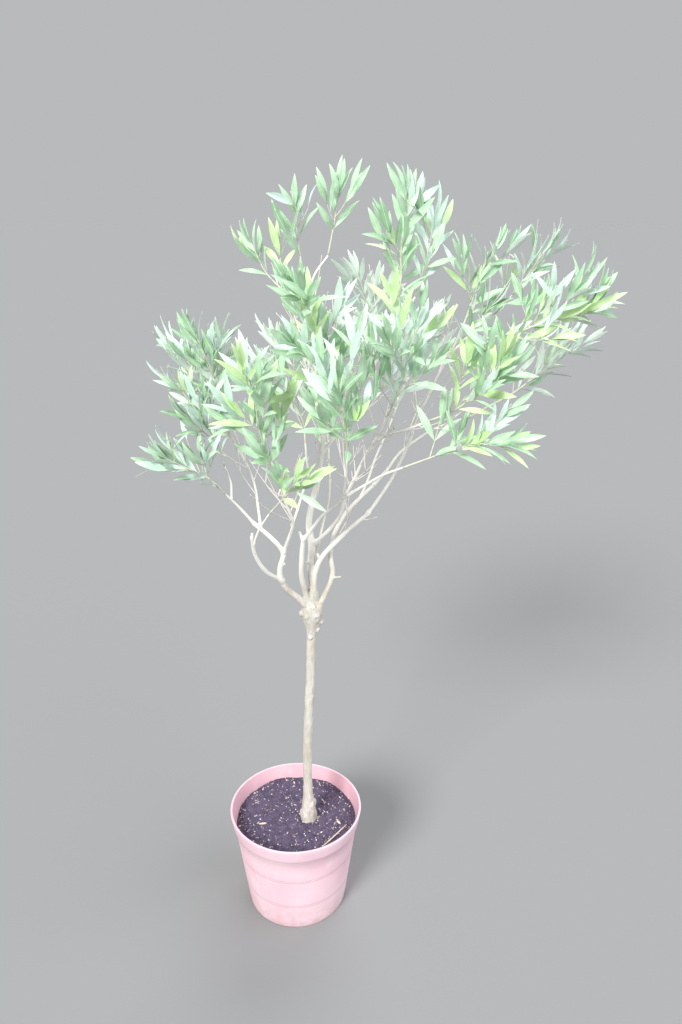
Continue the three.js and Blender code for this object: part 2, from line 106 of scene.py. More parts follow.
FOOT_RIM = 12  # the width of the part of it that the pot stands on
FOOT_SLANT = 2
FOOT_EDGE = 3  # the radii of the pot's rounded edges
BAND_EDGE = 1.8
RIM_EDGES = (1.6, 1.2)
POT_SIDES = 180
PLASTICS = {  # pink, faded pink and chalk
    "pot_plastic": ((0.76, 0.5, 0.57), (0.82, 0.6, 0.66), (0.86, 0.75, 0.8)),
    # painted shade: the inside is a darker pink, for the shade inside the pot
    "pot_inside_shade": ((0.68, 0.4, 0.46), (0.74, 0.48, 0.54), (0.8, 0.64, 0.68)),
    # painted shade: the grooves' faces get a darker pink, for the shade in them
    "pot_groove_shade": ((0.6, 0.4, 0.44), (0.66, 0.47, 0.52), (0.72, 0.6, 0.62)),
    # painted shade: the band is a darker pink, against the light that it catches
    "pot_band_shade": ((0.69, 0.455, 0.52), (0.74, 0.54, 0.61), (0.78, 0.68, 0.74)),
}
SPLASHED_TO = 0.075  # the height in metres up to which the rain splashes dirt on the pot
DIRT = (0.5, 0.36, 0.33)
DIRT_MOST = 0.5  # how strongly it shows at most, and the chalk
CHALK_MOST = 0.4
PLASTIC_GRAIN = 1500.0
PLASTIC_LINES = (3, 3, 260)  # fine level lines in the plastic, and their weight in its bumps
PLASTIC_LINES_WEIGHT = 1.5

# The compost
SOIL_LEVEL = 220
SOIL_EDGE_DROP = 6
SOIL_EDGE_FROM = 0.84  # the share of its radius from which it falls to its edge
SOIL_EDGE_SIDE = (1.5, 14)  # how far in and how far down its side runs from that edge
SOIL_CLEAR = (0.3, 0.6, 0.2)  # how far it keeps from the pot's floor, and from its wall below and above
SOIL_SLOPE = 0.045  # it lies higher towards the back
SOIL_LUMP = 3
SOIL_LUMP_SIZES = (26, 21)
SOIL_LEVEL_RADII = (25, 75)
SOIL_RINGS = 56
SOIL_CROWDING = 0.85
SOIL_SIDES = 168
SOIL_ROUGHNESS = ((22, 2.2), (8, 1.5), (3.5, 0.7))  # sizes of its lumps and how high they stand
LUMPS_FACE_UP = 0.3  # the faces that lumps lie on: how much they face up, and how deep they lie
LUMPS_REACH_DOWN = 20
LUMP_DENTS = 1.3  # how fine its dents are, the levels of their noise, and the size that they leave
LUMP_DENT_LEVELS = (0.3, 0.7)
LUMP_SWELL = (0.55, 1.2)
LUMP_TILT = 0.5  # radians that it may be tilted and turned
LUMP_TURN = 6.28
COMPOSTS = {  # dark and light, and the fineness of the pattern
    "compost": ((0.086, 0.068, 0.124), (0.2, 0.158, 0.265), 70.0),
    "compost_crumbs": ((0.112, 0.086, 0.128), (0.32, 0.245, 0.34), 120.0),
}
COMPOST_SHADOWS = (0.45, 0.55)  # the darkness of its fine shadows, and how strongly they show
LUMP_INPUTS = {
    "Density": "Float",
    "Least size": "Float",
    "Greatest size": "Float",
    "Stretch": "Vector",
    "Lift": "Float",
    "Seed": "Int",
}
STREWN = {  # lumps to the square metre, least and greatest size in metres, shape, lift and seed
    "compost_crumbs": (30000.0, 0.0009, 0.0032, (1.0, 0.8, 0.7), -0.15, 3),
    "compost_fines": (22000.0, 0.0006, 0.0013, (1.0, 0.9, 0.8), 0.4, 11),
    "perlite": (5200.0, 0.0005, 0.0017, (1.3, 0.9, 0.7), 0.5, 5),
    "wood_chips": (1500.0, 0.0006, 0.0013, (4.5, 1.1, 0.5), 0.6, 8),
}
STICKS = (  # the ends and radius of the fallen stick, and of two larger chips
    (((64, -92), (117, -28)), 1.9),
    (((-84, -30), (-66, -27)), 2.4),
    (((94, -22), (103, -30)), 3.2),
)
STICK_LIFT = 1.5
STICK_BOW = (0.8, -0.8, 0.6)
STICK_STEP = 4
STICK_SIDES = 8
STICK_GIRTHS = (0.75, 1.05)  # the dice's least and most
STICK_ENDS = 0.5  # its thickness at its ends, against its middle

# The stem
STEM_BENDS = ((30, -8, SOIL_LEVEL - 3), (29, -10, 400), (37, -6, 570), (45, 0, 770))
STEM_RADIUS = 10
FLARE = 8.5
FLARE_FADE = 0.1
HEAD_SWELL = 13
HEAD_SHARES = (0.85, 0.97)
HEAD_ROUNDING = 0.6  # what is left of the swelling at the very top
HEAD_TOP = 0.985
STEM_POINTS = 101

# Boughs
BOUGH_STEP = 45
BOUGH_NUDGE = 2.5
THICK_FROM = 6.4  # boughs from this thickness up are joined with the stem into one piece of wood
COLLAR = 0.45  # how much thicker a bough is where it leaves its parent
COLLAR_FADE = 0.9  # thicknesses along which that fades
WOOD_STEP = 3.5
WOOD_SIDES = 20
WOOD_GRAIN = 1.5  # edge length of the joined wood's mesh
WOOD_SMOOTHING = (0.5, 5)  # how much the joined wood is smoothed, and how often
THIN_SIDES = 12
STUB_SIDES = 10
STUB_SHAPE = (1.25, 1.15, 1, 0.92, 0.98, 0.8)  # its thickness from root to tip, against the one given
RELIEF = (  # noise in the bark: how fine across and along it, its rise against the radius, and its most
    (0.11, 0.045, 0.095, 2),
    (0.4, 0.035, 0.045, 0.4),
    (1.3, 0.3, 0.1, 0.1),
)
LIMB_APART = 1000  # from one limb's straightened bark to the next one's
NEAR_SAMPLES = 10
CROTCH_GAP = 3  # this near to where two limbs meet the bark runs straight up
CROTCH_FADE = 0.8  # and after this, as a share of the limb's radius, it runs along its limb
BARKS = {  # pale, warm and green patches, and the fineness of the pattern
    "bark": ((0.65, 0.63, 0.58), (0.54, 0.48, 0.41), (0.51, 0.54, 0.45), 1.0),
    "young_bark": ((0.92, 0.9, 0.84), (0.82, 0.76, 0.67), (0.78, 0.81, 0.68), 1.5),
}
BARK_GREEN = 0.7  # how strongly the green shows at most
BARK_STREAKS = (0.5, 0.35)  # the darkness of streaks and of pores, and how strongly they show
BARK_PORES = (0.55, 0.45)
PORE_SHAPE = (1, 1, 1.8)
PORE_SCALE = 190.0
PORE_EDGE = (0.24, 0.1)  # from its edge to its middle
PORE_WEIGHT = 0.8  # in the bumps, against the streaks
PAINTED_LIGHT_HEIGHTS = (0.8, 0.9)  # painted light: the heights in metres between which the boughs are painted paler, where the crown shades them
PAINTED_LIGHT_MOST = 0.6
PAINTED_LIGHT_COLOUR = (0.95, 0.94, 0.88)

# Twigs
TWIG_STEP = 50
TWIG_NUDGE = 3
TWIG_SPAN = (0.12, 0.88)
TWIG_STAGGER = 0.6
TWIG_LENGTHS = (1.2, 0.75)
TWIG_SIZES = (0.8, 1.15)
TWIG_BARE = 0.3
TWIG_LEAN = 46
TWIG_LEAN_SPREAD = 14
TWIG_TURN_SPREAD = 30
TWIG_LIFT = 0.45
GOLDEN_ANGLE = 137.5
STEM_TWIG_RADII = (1.7, 0.85)
SIDE_TWIG_RADII = (1.15, 0.65)
FINE_TWIG_RADII = (0.8, 0.5)
FINE_TWIG_SPACING = 66
FINE_TWIG_STAGGER = 0.6
FINE_TWIG_SPAN = (0.25, 0.92)
FINE_TWIG_LENGTHS = (26, 46)
FINE_TWIG_BARE = 0.2
TWIG_SAG = 0.05
TWIG_TUBE_STEP = 7
TWIG_TUBE_SIDES = 6

# Leaves
LEAF_LENGTH = 76
LEAF_RATIO = 0.198  # width against length
LEAF_SIZES = (0.7, 1.04)
LEAF_SPACING = 23.5
LEAF_PAIR_ENDS = (0.4, 0.2)  # spaces before the first pair, and past the last one
LEAF_CROWDING = 0.9
END_LEAF_SHARE = 0.99
END_LEAF_HANDS = (0.35, -0.3)
END_LEAF_SIZE = 0.85
LEAF_LEANS = (62, 22)
LEAF_LEAN_SPREAD = 18
LEAF_LIFT = 0.06
LEAF_FACE = (0.3, 0.8, 0.45)  # how much its face turns along its twig, out of the crown and up
LEAF_ROLL = 70
LEAF_STALK = 0.07  # the share of its length that is stalk
LEAF_STALK_WIDTH = 0.13
LEAF_TIP_WIDTH = 0.02
LEAF_BELLY = (0.92, 0.85)  # powers that move its widest place and fill its blade
LEAF_RIB = (0.05, 0.15)  # the rib's half width: a share of the blade's, and millimetres
LEAF_RIB_SHARE = 0.6  # and the most that it takes of the blade
LEAF_UNDER = 0.8  # the rib's width below, against above
LEAF_THICKNESS = 0.5
LEAF_WIDTHS = (0.85, 1.1)  # the dice's least and most of what makes each leaf its own
LEAF_ARCHES = (0.1, 0.75)
LEAF_FOLDS = (0.08, 0.4)
LEAF_TWISTS = (-0.5, 0.5)
LEAF_SHARES = (0, LEAF_STALK, 0.18, 0.34, 0.52, 0.7, 0.87, 1)
LEAF_SIDES = 6  # corners round it at each of those shares
LEAF_OVER = 6  # how far a leaf may stand out of its mass's space
LEAF_CLEAR = 1.5  # and how far it keeps from a limb, tried at these shares of its length
LEAF_TRIED_AT = (0.35, 0.6, 0.95)

# Each bough: its name, the limb it grows from and the share of that limb's length where it does, its
# thickness at root and tip, and the places that it bends through, the last of them its tip
BOUGHS = (
    ("left_low", "trunk", 0.97, 15, 8, (-18, -28, 840), (-15, -25, 900), (-70, 10, 940)),
    ("left_outer", "left_low", 0.4, 10, 7, (-56, -60, 882), (-66, -85, 952)),
    ("front_low", "left_outer", 0.85, 4.5, 3, (-42, -105, 985), (-28, -115, 1010)),
    ("left_spread", "left_low", 0.985, 7, 4.5, (-100, 10, 975), (-126, 8, 1006)),
    ("left_mid", "left_spread", 0.8, 4.5, 3.5, (-118, 30, 1025), (-128, 32, 1056)),
    ("left_back", "left_low", 0.93, 6.5, 5, (-80, 75, 1022), (-108, 100, 1070)),
    ("left_high", "left_back", 0.85, 4.5, 3.5, (-108, 82, 1095), (-118, 74, 1140)),
    ("left_inner", "left_low", 0.66, 8, 5, (10, -52, 962), (-8, -86, 1050)),
    ("mid_back", "left_inner", 0.45, 5.5, 3.8, (36, 50, 1030), (30, 112, 1080)),
    ("front", "trunk", 0.975, 13, 9, (24, -15, 835), (30, -30, 930)),
    ("front_cross", "front", 0.96, 8, 6.5, (65, -62, 982), (118, -95, 1042)),
    ("right_low", "front_cross", 0.97, 6, 4, (160, -110, 1072), (214, -126, 1102)),
    ("front_centre", "front_cross", 0.9, 5, 3.8, (112, -125, 1082), (114, -152, 1122)),
    ("leader", "trunk", 0.985, 17, 10, (44, 14, 860), (42, 26, 945), (70, 44, 1100), (80, 50, 1188)),
    ("leader_top", "leader", 0.985, 8, 5.5, (58, 50, 1240), (44, 50, 1348)),
    ("top_left", "leader_top", 0.97, 4.5, 3.8, (26, 56, 1366), (6, 62, 1382)),
    ("top", "leader_top", 0.9, 4.5, 3.5, (50, 48, 1410), (80, 50, 1455)),
    ("top_mid", "top", 0.3, 3.8, 3.4, (38, 60, 1396), (34, 62, 1422)),
    ("twin_up", "leader", 0.96, 6.5, 4.5, (165, 26, 1270), (198, 18, 1326)),
    ("crest", "twin_up", 0.9, 4.5, 3.6, (222, 22, 1345), (240, 24, 1384)),
    ("crown_front", "leader", 0.9, 5, 3.8, (70, 8, 1178), (66, -30, 1214)),
    ("back", "leader", 0.2, 8, 5, (80, 85, 970), (78, 130, 1035)),
    ("back_high", "leader", 0.74, 7, 4.5, (112, 104, 1132), (130, 140, 1184)),
    ("cross", "leader", 0.3, 8.5, 6, (92, 8, 938), (112, -10, 1005), (170, -32, 1130)),
    ("cross_right", "cross", 0.985, 5.5, 4.2, (215, -50, 1150), (262, -74, 1174)),
    ("cross_up", "cross", 0.96, 4.5, 3.7, (180, -44, 1152), (190, -56, 1180)),
    ("right", "trunk", 0.97, 13, 8.5, (56, 5, 850), (90, 20, 895), (160, 44, 950)),
    ("right_up", "right", 0.985, 8, 5, (216, 62, 1035), (270, 71, 1175), (312, 73, 1262)),
    ("right_crest", "right_up", 0.96, 4, 3.5, (345, 76, 1300), (376, 79, 1326)),
    ("right_back", "trunk", 0.96, 12, 8, (86, 20, 812), (80, 36, 878), (112, 62, 938), (175, 104, 995)),
    ("right_long", "right_back", 0.985, 7.5, 5, (275, 158, 1085), (375, 180, 1118)),
    ("right_rear", "right_back", 0.86, 5.5, 4.3, (190, 168, 1062), (215, 200, 1112)),
    ("right_thin", "leader", 0.92, 5, 3.5, (175, -18, 1222), (320, -58, 1308)),
)

# Pruned stubs: the limb that carries it, the share along it, its way, length and thickness. The first
# six are the source's own; the others are knobs and stumps on the head, and low knobs on stem and boughs
STUBS = (
    ("front", 0.94, (-0.35, -0.1, 1), 24, 7),
    ("left_outer", 0.97, (0.1, 0, 1), 12, 6.5),
    ("leader", 0.5, (1, -0.4, 0.6), 16, 5),
    ("right", 0.44, (-0.25, -0.3, 1), 22, 7),
    ("right", 0.2, (-1, -0.3, 0.3), 12, 6),
    ("right_back", 0.26, (1, -0.2, 0.2), 22, 5),
    ("trunk", 0.93, (1, -0.2, -0.2), 24, 14),
    ("trunk", 0.9, (1, -0.5, -0.4), 18, 12),
    ("trunk", 0.965, (-1, -0.3, -0.1), 28, 14),
    ("trunk", 0.95, (-0.6, -1, 0.2), 25, 13),
    ("trunk", 0.955, (0.5, -1, 0.2), 25, 12),
    ("trunk", 0.94, (0.2, 1, 0.3), 26, 13),
    ("trunk", 0.975, (0.1, -1, 0.75), 25, 15),
    ("trunk", 0.985, (-0.75, -0.7, 0.5), 25, 12),
    ("trunk", 0.98, (0.9, -0.5, 0.5), 25, 13),
    ("trunk", 0.86, (-0.3, -1, 0.1), 13, 11),
    ("trunk", 0.6, (0.8, -0.7, 0.1), 10.5, 12),
    ("trunk", 0.08, (1, -0.3, 0.1), 15, 26),
    ("trunk", 0.03, (-1, -0.5, 0.1), 18, 28),
    ("trunk", 0.05, (-0.2, 1, 0.1), 16, 26),
    ("left_low", 0.3, (-0.4, -1, 0.5), 10, 5),
    ("left_low", 0.56, (1, -0.3, 0.2), 10, 5),
    ("leader", 0.22, (-0.8, -0.7, 0.3), 13, 6),
    ("right_back", 0.5, (-0.6, -0.8, 0.2), 8, 4),
)

# Each mass of foliage: name, bough, the places its stem bends through from the bough's tip to its own,
# number of side twigs, their length, and the share of the stem that stays bare
MASSES = (
    ("foliage_front_low", "front_low", ((12, -145, 1065), (30, -175, 1105)), 2, 44, 0.3),
    ("foliage_left_low", "left_spread", ((-165, -8, 1052), (-240, -28, 1096)), 5, 76, 0.1),
    ("foliage_left_mid", "left_mid", ((-142, 28, 1105), (-170, 12, 1190)), 4, 92, 0.1),
    ("foliage_left", "left_back", ((-150, 118, 1140), (-220, 108, 1250)), 5, 96, 0.1),
    ("foliage_left_high", "left_high", ((-140, 72, 1205), (-174, 76, 1300)), 4, 84, 0.1),
    ("foliage_front_left", "left_inner", ((-28, -116, 1130), (-52, -158, 1275)), 6, 100, 0.1),
    ("foliage_mid_back", "mid_back", ((18, 165, 1145), (-30, 222, 1265)), 5, 104, 0.1),
    ("foliage_front_right", "cross_right", ((335, -116, 1226), (372, -155, 1305)), 4, 82, 0.1),
    ("foliage_right_low", "right_low", ((300, -142, 1138), (392, -165, 1160)), 4, 64, 0.25),
    ("foliage_front", "front_centre", ((110, -192, 1180), (100, -250, 1285)), 6, 96, 0.1),
    ("foliage_top_left", "top_left", ((-24, 70, 1408), (-62, 74, 1475)), 2, 58, 0.15),
    ("foliage_top", "top", ((92, 51, 1510), (100, 52, 1565)), 1, 50, 0.3),
    ("foliage_top_mid", "top_mid", ((28, 62, 1475), (22, 60, 1540)), 2, 54, 0.2),
    ("foliage_crown_front", "crown_front", ((62, -85, 1278), (48, -140, 1395)), 6, 94, 0.1),
    ("foliage_back", "back", ((72, 195, 1125), (60, 280, 1230)), 5, 108, 0.1),
    ("foliage_back_high", "back_high", ((152, 190, 1255), (180, 262, 1385)), 5, 104, 0.1),
    ("foliage_top_right", "twin_up", ((210, 5, 1420), (216, -2, 1555)), 3, 66, 0.2),
    ("foliage_crest", "crest", ((258, 26, 1445), (270, 24, 1520)), 3, 62, 0.15),
    ("foliage_middle", "cross_up", ((206, -84, 1235), (232, -140, 1350)), 6, 94, 0.05),
    ("foliage_right_inner", "right_up", ((348, 72, 1345), (376, 60, 1462)), 4, 82, 0.1),
    ("foliage_right_crest", "right_crest", ((432, 85, 1385), (488, 78, 1470)), 3, 76, 0.1),
    ("foliage_right", "right_long", ((485, 188, 1180), (570, 176, 1290)), 5, 88, 0.4),
    ("foliage_right_rear", "right_rear", ((248, 240, 1190), (298, 298, 1305)), 5, 102, 0.1),
    ("foliage_right_far", "right_thin", ((425, -48, 1334), (560, -25, 1372)), 5, 80, 0.25),
)

# Thin bare twigs that stand on the inner boughs: bough, the shares between which they stand, and number
DRY_TWIGS = (
    ("leader_top", 0.05, 0.95, 18),
    ("leader", 0.72, 0.98, 10),
    ("crown_front", 0.2, 0.95, 7),
    ("left_inner", 0.45, 0.95, 8),
    ("front_centre", 0.1, 0.9, 5),
    ("cross_up", 0.1, 0.9, 4),
    ("left_back", 0.4, 0.9, 4),
    ("twin_up", 0.1, 0.9, 7),
    ("cross", 0.5, 0.95, 8),
    ("cross_right", 0.1, 0.9, 4),
    ("right_up", 0.35, 0.9, 6),
    ("right_thin", 0.1, 0.9, 6),
    ("right", 0.6, 0.95, 3),
    ("back_high", 0.3, 0.9, 4),
)
DRY_TWIG_LENGTHS = (35, 150)  # the dice's least and most
DRY_TWIG_RADII = (1.25, 0.5)
DRY_TWIG_FORKED = 0.6  # the share of them that fork, where they do, and the fork's length against theirs
DRY_FORK_AT = 0.55
DRY_FORK_SIZE = 0.5

# The tints of the leaves' upper sides, dark and light, dealt out by spray
LEAF_TINTS = {
    "leaf_deep": ((0.25, 0.43, 0.25), (0.36, 0.57, 0.37)),
    "leaf_mid": ((0.37, 0.59, 0.38), (0.52, 0.75, 0.52)),
    "leaf_grey": ((0.53, 0.72, 0.63), (0.68, 0.85, 0.76)),
    "leaf_young": ((0.5, 0.74, 0.34), (0.66, 0.87, 0.47)),
}
TINT_DEAL = ("leaf_deep", "leaf_mid", "leaf_mid", "leaf_grey", "leaf_grey", "leaf_mid", "leaf_young")
LEAF_LOWERS = {  # and those of the lower side and the rib
    "leaf_under": ((0.58, 0.68, 0.6), (0.7, 0.79, 0.72)),
    "leaf_rib": ((0.56, 0.68, 0.47), (0.68, 0.8, 0.6)),
}
YOUNG_SHOOTS = {"foliage_front_right": 2}  # how many twigs of a mass, the stem first, are freshly grown

# The cloudy patterns of the finishes: drawn out by, scale, the levels that they rise between, and detail
PATTERNS = {
    "plastic_faded": ((1, 1, 1), 9, 0.35, 0.7, 4),
    "plastic_chalk": ((1, 1, 0.35), 38, 0.56, 0.8, 6),
    "plastic_splashes": ((1, 1, 1), 60, 0.35, 0.6, 6),
    "compost_clods": ((1, 1, 1), 1, 0.3, 0.7, 8),
    "compost_grit": ((1, 1, 1), 900, 0.35, 0.65, 4),
    "perlite_stain": ((1, 1, 1), 260, 0.4, 0.7, 4),
    "wood_streaks": ((1, 0.4, 1), 500, 0.3, 0.7, 6),
    "bark_streaks": ((1, 1, 0.12), 420, 0.32, 0.68, 6),
    "bark_patches": ((1, 1, 0.45), 60, 0.42, 0.62, 5),
    "bark_moss": ((1, 1, 0.6), 34, 0.5, 0.72, 3),
    "twig_patches": ((1, 1, 1), 120, 0.3, 0.7, 4),
    "leaf_cloud": ((1, 1, 1), 42, 0.36, 0.64, 3),
    "leaf_grain": ((1, 1, 1), 700, 0.3, 0.7, 2),
}
BARK_PATTERNS = ("bark_streaks", "bark_patches", "bark_moss")

# Surfaces: specular level, sheen, roughness at both ends of the pattern, depth and strength of the bumps
Surface = namedtuple("Surface", "specular sheen roughness depth strength")
SURFACES = {
    "plastic": Surface(0.4, 0.0, (0.48, 0.7), 0.00015, 0.6),
    "compost": Surface(0.25, 0.0, (0.8, 1.0), 0.0012, 0.9),
    "perlite": Surface(0.5, 0.0, (0.7, 0.9), 0.0004, 0.6),
    "dry_wood": Surface(0.5, 0.0, (0.6, 0.85), 0.0003, 0.6),
    "bark": Surface(0.3, 0.0, (0.9, 0.75), 0.0007, 0.8),
    "twig": Surface(0.5, 0.0, (0.55, 0.8), 0.0003, 0.6),
    "leaf_upper": Surface(0.45, 0.0, (0.32, 0.5), 0.0001, 0.4),
    "leaf_under": Surface(0.45, 0.25, (0.6, 0.8), 0.0001, 0.4),
    "leaf_rib": Surface(0.45, 0.0, (0.45, 0.6), 0.0001, 0.4),
}

# Plain finishes: their surface, their pattern, and the two colours that it mixes
PLAIN_FINISHES = {
    "perlite": ("perlite", "perlite_stain", (0.86, 0.83, 0.82), (0.6, 0.52, 0.5)),
    "dry_wood": ("dry_wood", "wood_streaks", (0.8, 0.7, 0.6), (0.5, 0.38, 0.3)),
    "twig": ("twig", "twig_patches", (0.7, 0.71, 0.58), (0.54, 0.54, 0.42)),
    "dry_twig": ("twig", "twig_patches", (0.86, 0.83, 0.78), (0.72, 0.66, 0.58)),
}

UP = np.array((0.0, 0.0, 1.0))
CROWN_MIDDLE = np.array((110, 160, 0))
FACING = np.array((0.5, 1, 0))  # leaves face the front or the back more than a side


# Draws and paths, as in the part's source


def dice_of(name):
    """Even draws from 0 to 1, fixed by a name."""
    state = 7
    for letter in name:
        state = (state * 31 + ord(letter)) % 65521

    def roll():
        nonlocal state
        state = (state * 1664525 + 1013904223) % 4294967296
        return state / 4294967296

    return roll


def between(low, high, share):
    return low + (high - low) * share


def unit(way):
    return way / np.linalg.norm(way)


def smoothstep(value, low, high):
    share = np.clip((value - low) / (high - low), 0, 1)
    return share * share * (3 - 2 * share)


def turned(way, axis, degrees):
    """A direction turned about an axis."""
    angle = math.radians(degrees)
    around = np.cross(axis, way) * math.sin(angle)
    return way * math.cos(angle) + around + axis * (axis @ way) * (1 - math.cos(angle))


def travelled_along(points):
    """How far along a path each of its points lies."""
    return np.concatenate(((0,), np.cumsum(np.linalg.norm(np.diff(points, axis=0), axis=1))))


class Bend:
    """A smooth bend through the given places, measured along its length."""

    STEPS = 200

    def __init__(self, places):
        places = np.array(places, float)
        before = 2 * places[0] - places[1]
        after = 2 * places[-1] - places[-2]
        self.knots = np.vstack((before, places, after))
        self.times = np.linspace(0, 1, self.STEPS + 1)
        self.travelled = travelled_along(self._at_times(self.times))
        self.length = self.travelled[-1]

    def _at_times(self, times):
        spans = len(self.knots) - 3
        place = times * spans
        first = np.minimum(place.astype(int), spans - 1)
        t = (place - first)[:, None]
        p0, p1, p2, p3 = (self.knots[first + k] for k in range(4))
        pairs = ((p0, p1), (p1, p2), (p2, p3))
        gap0, gap1, gap2 = (np.linalg.norm(b - a, axis=1)[:, None] ** 0.5 for a, b in pairs)
        way1 = ((p1 - p0) / gap0 - (p2 - p0) / (gap0 + gap1) + (p2 - p1) / gap1) * gap1
        way2 = ((p2 - p1) / gap1 - (p3 - p1) / (gap1 + gap2) + (p3 - p2) / gap2) * gap1
        cubic = 2 * p1 - 2 * p2 + way1 + way2
        square = 3 * p2 - 3 * p1 - 2 * way1 - way2
        return p1 + way1 * t + square * t**2 + cubic * t**3

    def at(self, shares):
        """Points at the given shares of its length."""
        return self._at_times(np.interp(np.asarray(shares) * self.length, self.travelled, self.times))

    def every(self, step):
        """Points about a step apart."""
        return self.at(np.linspace(0, 1, max(2, round(self.length / step)) + 1))


def bent_path(places, step, nudge, dice):
    """Evenly spaced points on a smooth bend, each moved aside by the dice."""
    bend = Bend(places)
    steps = max(2, int(bend.length / step + 0.5))
    points = bend.at(np.linspace(0, 1, steps + 1))
    for point in points[1:-1]:
        point += 2 * nudge * np.array([dice() - 0.5 for _ in range(3)])
    return points


def along(points, share):
    """The point at a share of a path, and the way the path runs there."""
    place = share * (len(points) - 1)
    first = min(len(points) - 2, int(place))
    way = points[first + 1] - points[first]
    return points[first] + way * (place - first), unit(way)


# Tubes and gathered pieces


def frames_of(points):
    """Two directions square to a path at each of its points, carried along it without twisting."""
    ways = np.gradient(points, axis=0)
    ways /= np.linalg.norm(ways, axis=1)[:, None]
    side = np.array((1.0, 0.0, 0.0)) if abs(ways[0][0]) < 0.9 else np.array((0.0, 1.0, 0.0))
    sides = []
    for way in ways:
        side = unit(side - way * (side @ way))
        sides.append(side)
    sides = np.array(sides)
    return sides, np.cross(ways, sides)


def circle(count):
    """The cosines and sines of even steps round a circle."""
    angles = np.arange(count) * 2 * math.pi / count
    return np.cos(angles), np.sin(angles)


def upright_rings(radii, heights, count):
    """Rings of corners round the upright axis."""
    cosines, sines = circle(count)
    radii, heights = (np.asarray(values, float)[:, None] for values in (radii, heights))
    return np.stack(np.broadcast_arrays(radii * cosines, radii * sines, heights), axis=-1)


def tube(points, radii, count):
    """Corners and faces of a closed tube, and each corner's place on the bark as if it were straight."""
    sides, others = frames_of(points)
    cosines, sines = circle(count)
    rings = cosines[None, :, None] * sides[:, None] + sines[None, :, None] * others[:, None]
    corners = points[:, None] + np.asarray(radii)[:, None, None] * rings
    faces = []
    for i in range(len(points) - 1):
        for k in range(count):
            a, b = i * count + k, i * count + (k + 1) % count
            faces.append((a, b, b + count, a + count))
    last = (len(points) - 1) * count
    faces.append(tuple(range(count))[::-1])
    faces.append(tuple(range(last, last + count)))
    straight = upright_rings(radii, travelled_along(points), count)
    return corners.reshape(-1, 3), faces, straight.reshape(-1, 3)


class Stock:
    """Corners, faces and what goes with them, gathered for one piece."""

    def __init__(self):
        self.corners = []
        self.straight = []
        self.faces = []
        self.finishes = []
        self.count = 0

    def add(self, corners, faces, straight=None, finishes=None):
        self.corners.append(corners)
        self.straight.append(corners if straight is None else straight)
        self.faces.extend(tuple(corner + self.count for corner in face) for face in faces)
        self.finishes.extend([0] * len(faces) if finishes is None else finishes)
        self.count += len(corners)

    def mesh(self):
        mesh = bpy.data.meshes.new("stock")
        mesh.from_pydata((np.vstack(self.corners) * MM).tolist(), [], self.faces)
        mesh.polygons.foreach_set("material_index", self.finishes)
        mesh.polygons.foreach_set("use_smooth", [True] * len(self.faces))
        return mesh


def keep_straight(mesh, straight, shown):
    """Stores each corner's place on straightened bark, and how far the bark's pattern follows it."""
    kept = mesh.attributes.new("bark_place", "FLOAT_VECTOR", "POINT")
    kept.data.foreach_set("vector", (np.asarray(straight) * MM).astype(np.float32).ravel())
    kept = mesh.attributes.new("bark_shown", "FLOAT", "POINT")
    kept.data.foreach_set("value", shown.astype(np.float32))


def placed(name, data):
    """A new object in the scene, at the origin."""
    item = bpy.data.objects.new(name, data)
    bpy.context.scene.collection.objects.link(item)
    return item


def new_piece(name, mesh, materials, replaced=()):
    """A finished piece of the tree or its pot, in place of the solids it stands for."""
    piece = placed(name, mesh)
    mesh.name = name
    if not mesh.materials:
        for material in materials:
            mesh.materials.append(material)
    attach(piece, "root")
    if replaced:
        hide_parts(*replaced)
    return piece


def evaluated_mesh(helper):
    """The plain mesh that a helper object's modifiers make; the helper is removed."""
    bpy.context.view_layer.update()
    graph = bpy.context.evaluated_depsgraph_get()
    mesh = bpy.data.meshes.new_from_object(helper.evaluated_get(graph))
    old = helper.data
    bpy.data.objects.remove(helper)
    bpy.data.meshes.remove(old)
    return mesh


# Materials


def feed(tree, node, values):
    """Gives a node's sockets their values, each a number or another node's output."""
    for name, value in values.items():
        if hasattr(value, "is_output"):
            tree.links.new(value, node.inputs[name])
        else:
            node.inputs[name].default_value = value


def put(tree, kind, values=None, **settings):
    """A node with its settings and its sockets' values."""
    node = tree.nodes.new(kind)
    for name, value in settings.items():
        setattr(node, name, value)
    feed(tree, node, values or {})
    return node


def colour(rgb):
    return (*rgb, 1.0)


def result(tree, output, kind, values=None, **settings):
    """One output of a new node."""
    return put(tree, kind, values, **settings).outputs[output]


def cloudy(tree, vector, scale, detail=2.0):
    values = {"Vector": vector, "Scale": scale, "Detail": detail}
    return result(tree, "Fac", "ShaderNodeTexNoise", values)


def stretched(tree, vector, scale):
    return result(tree, "Vector", "ShaderNodeMapping", {"Vector": vector, "Scale": scale})


def levels(tree, share, low, high):
    return result(tree, "Result", "ShaderNodeMapRange", {"Value": share, "To Min": low, "To Max": high})


def rising(tree, value, start, end):
    """How far a value has come from one number to another, from 0 to 1."""
    values = {"Value": value, "From Min": start, "From Max": end}
    return result(tree, "Result", "ShaderNodeMapRange", values)


def computed(tree, operation, *values):
    return result(tree, 0, "ShaderNodeMath", dict(enumerate(values)), operation=operation)


def height_of(tree, vector):
    return result(tree, "Z", "ShaderNodeSeparateXYZ", {"Vector": vector})


def add_inputs(tree, inputs):
    """Gives a node group its inputs, by name and kind."""
    for name, kind in inputs.items():
        tree.interface.new_socket(name, in_out="INPUT", socket_type="NodeSocket" + kind)
    return tree.nodes.new("NodeGroupInput").outputs


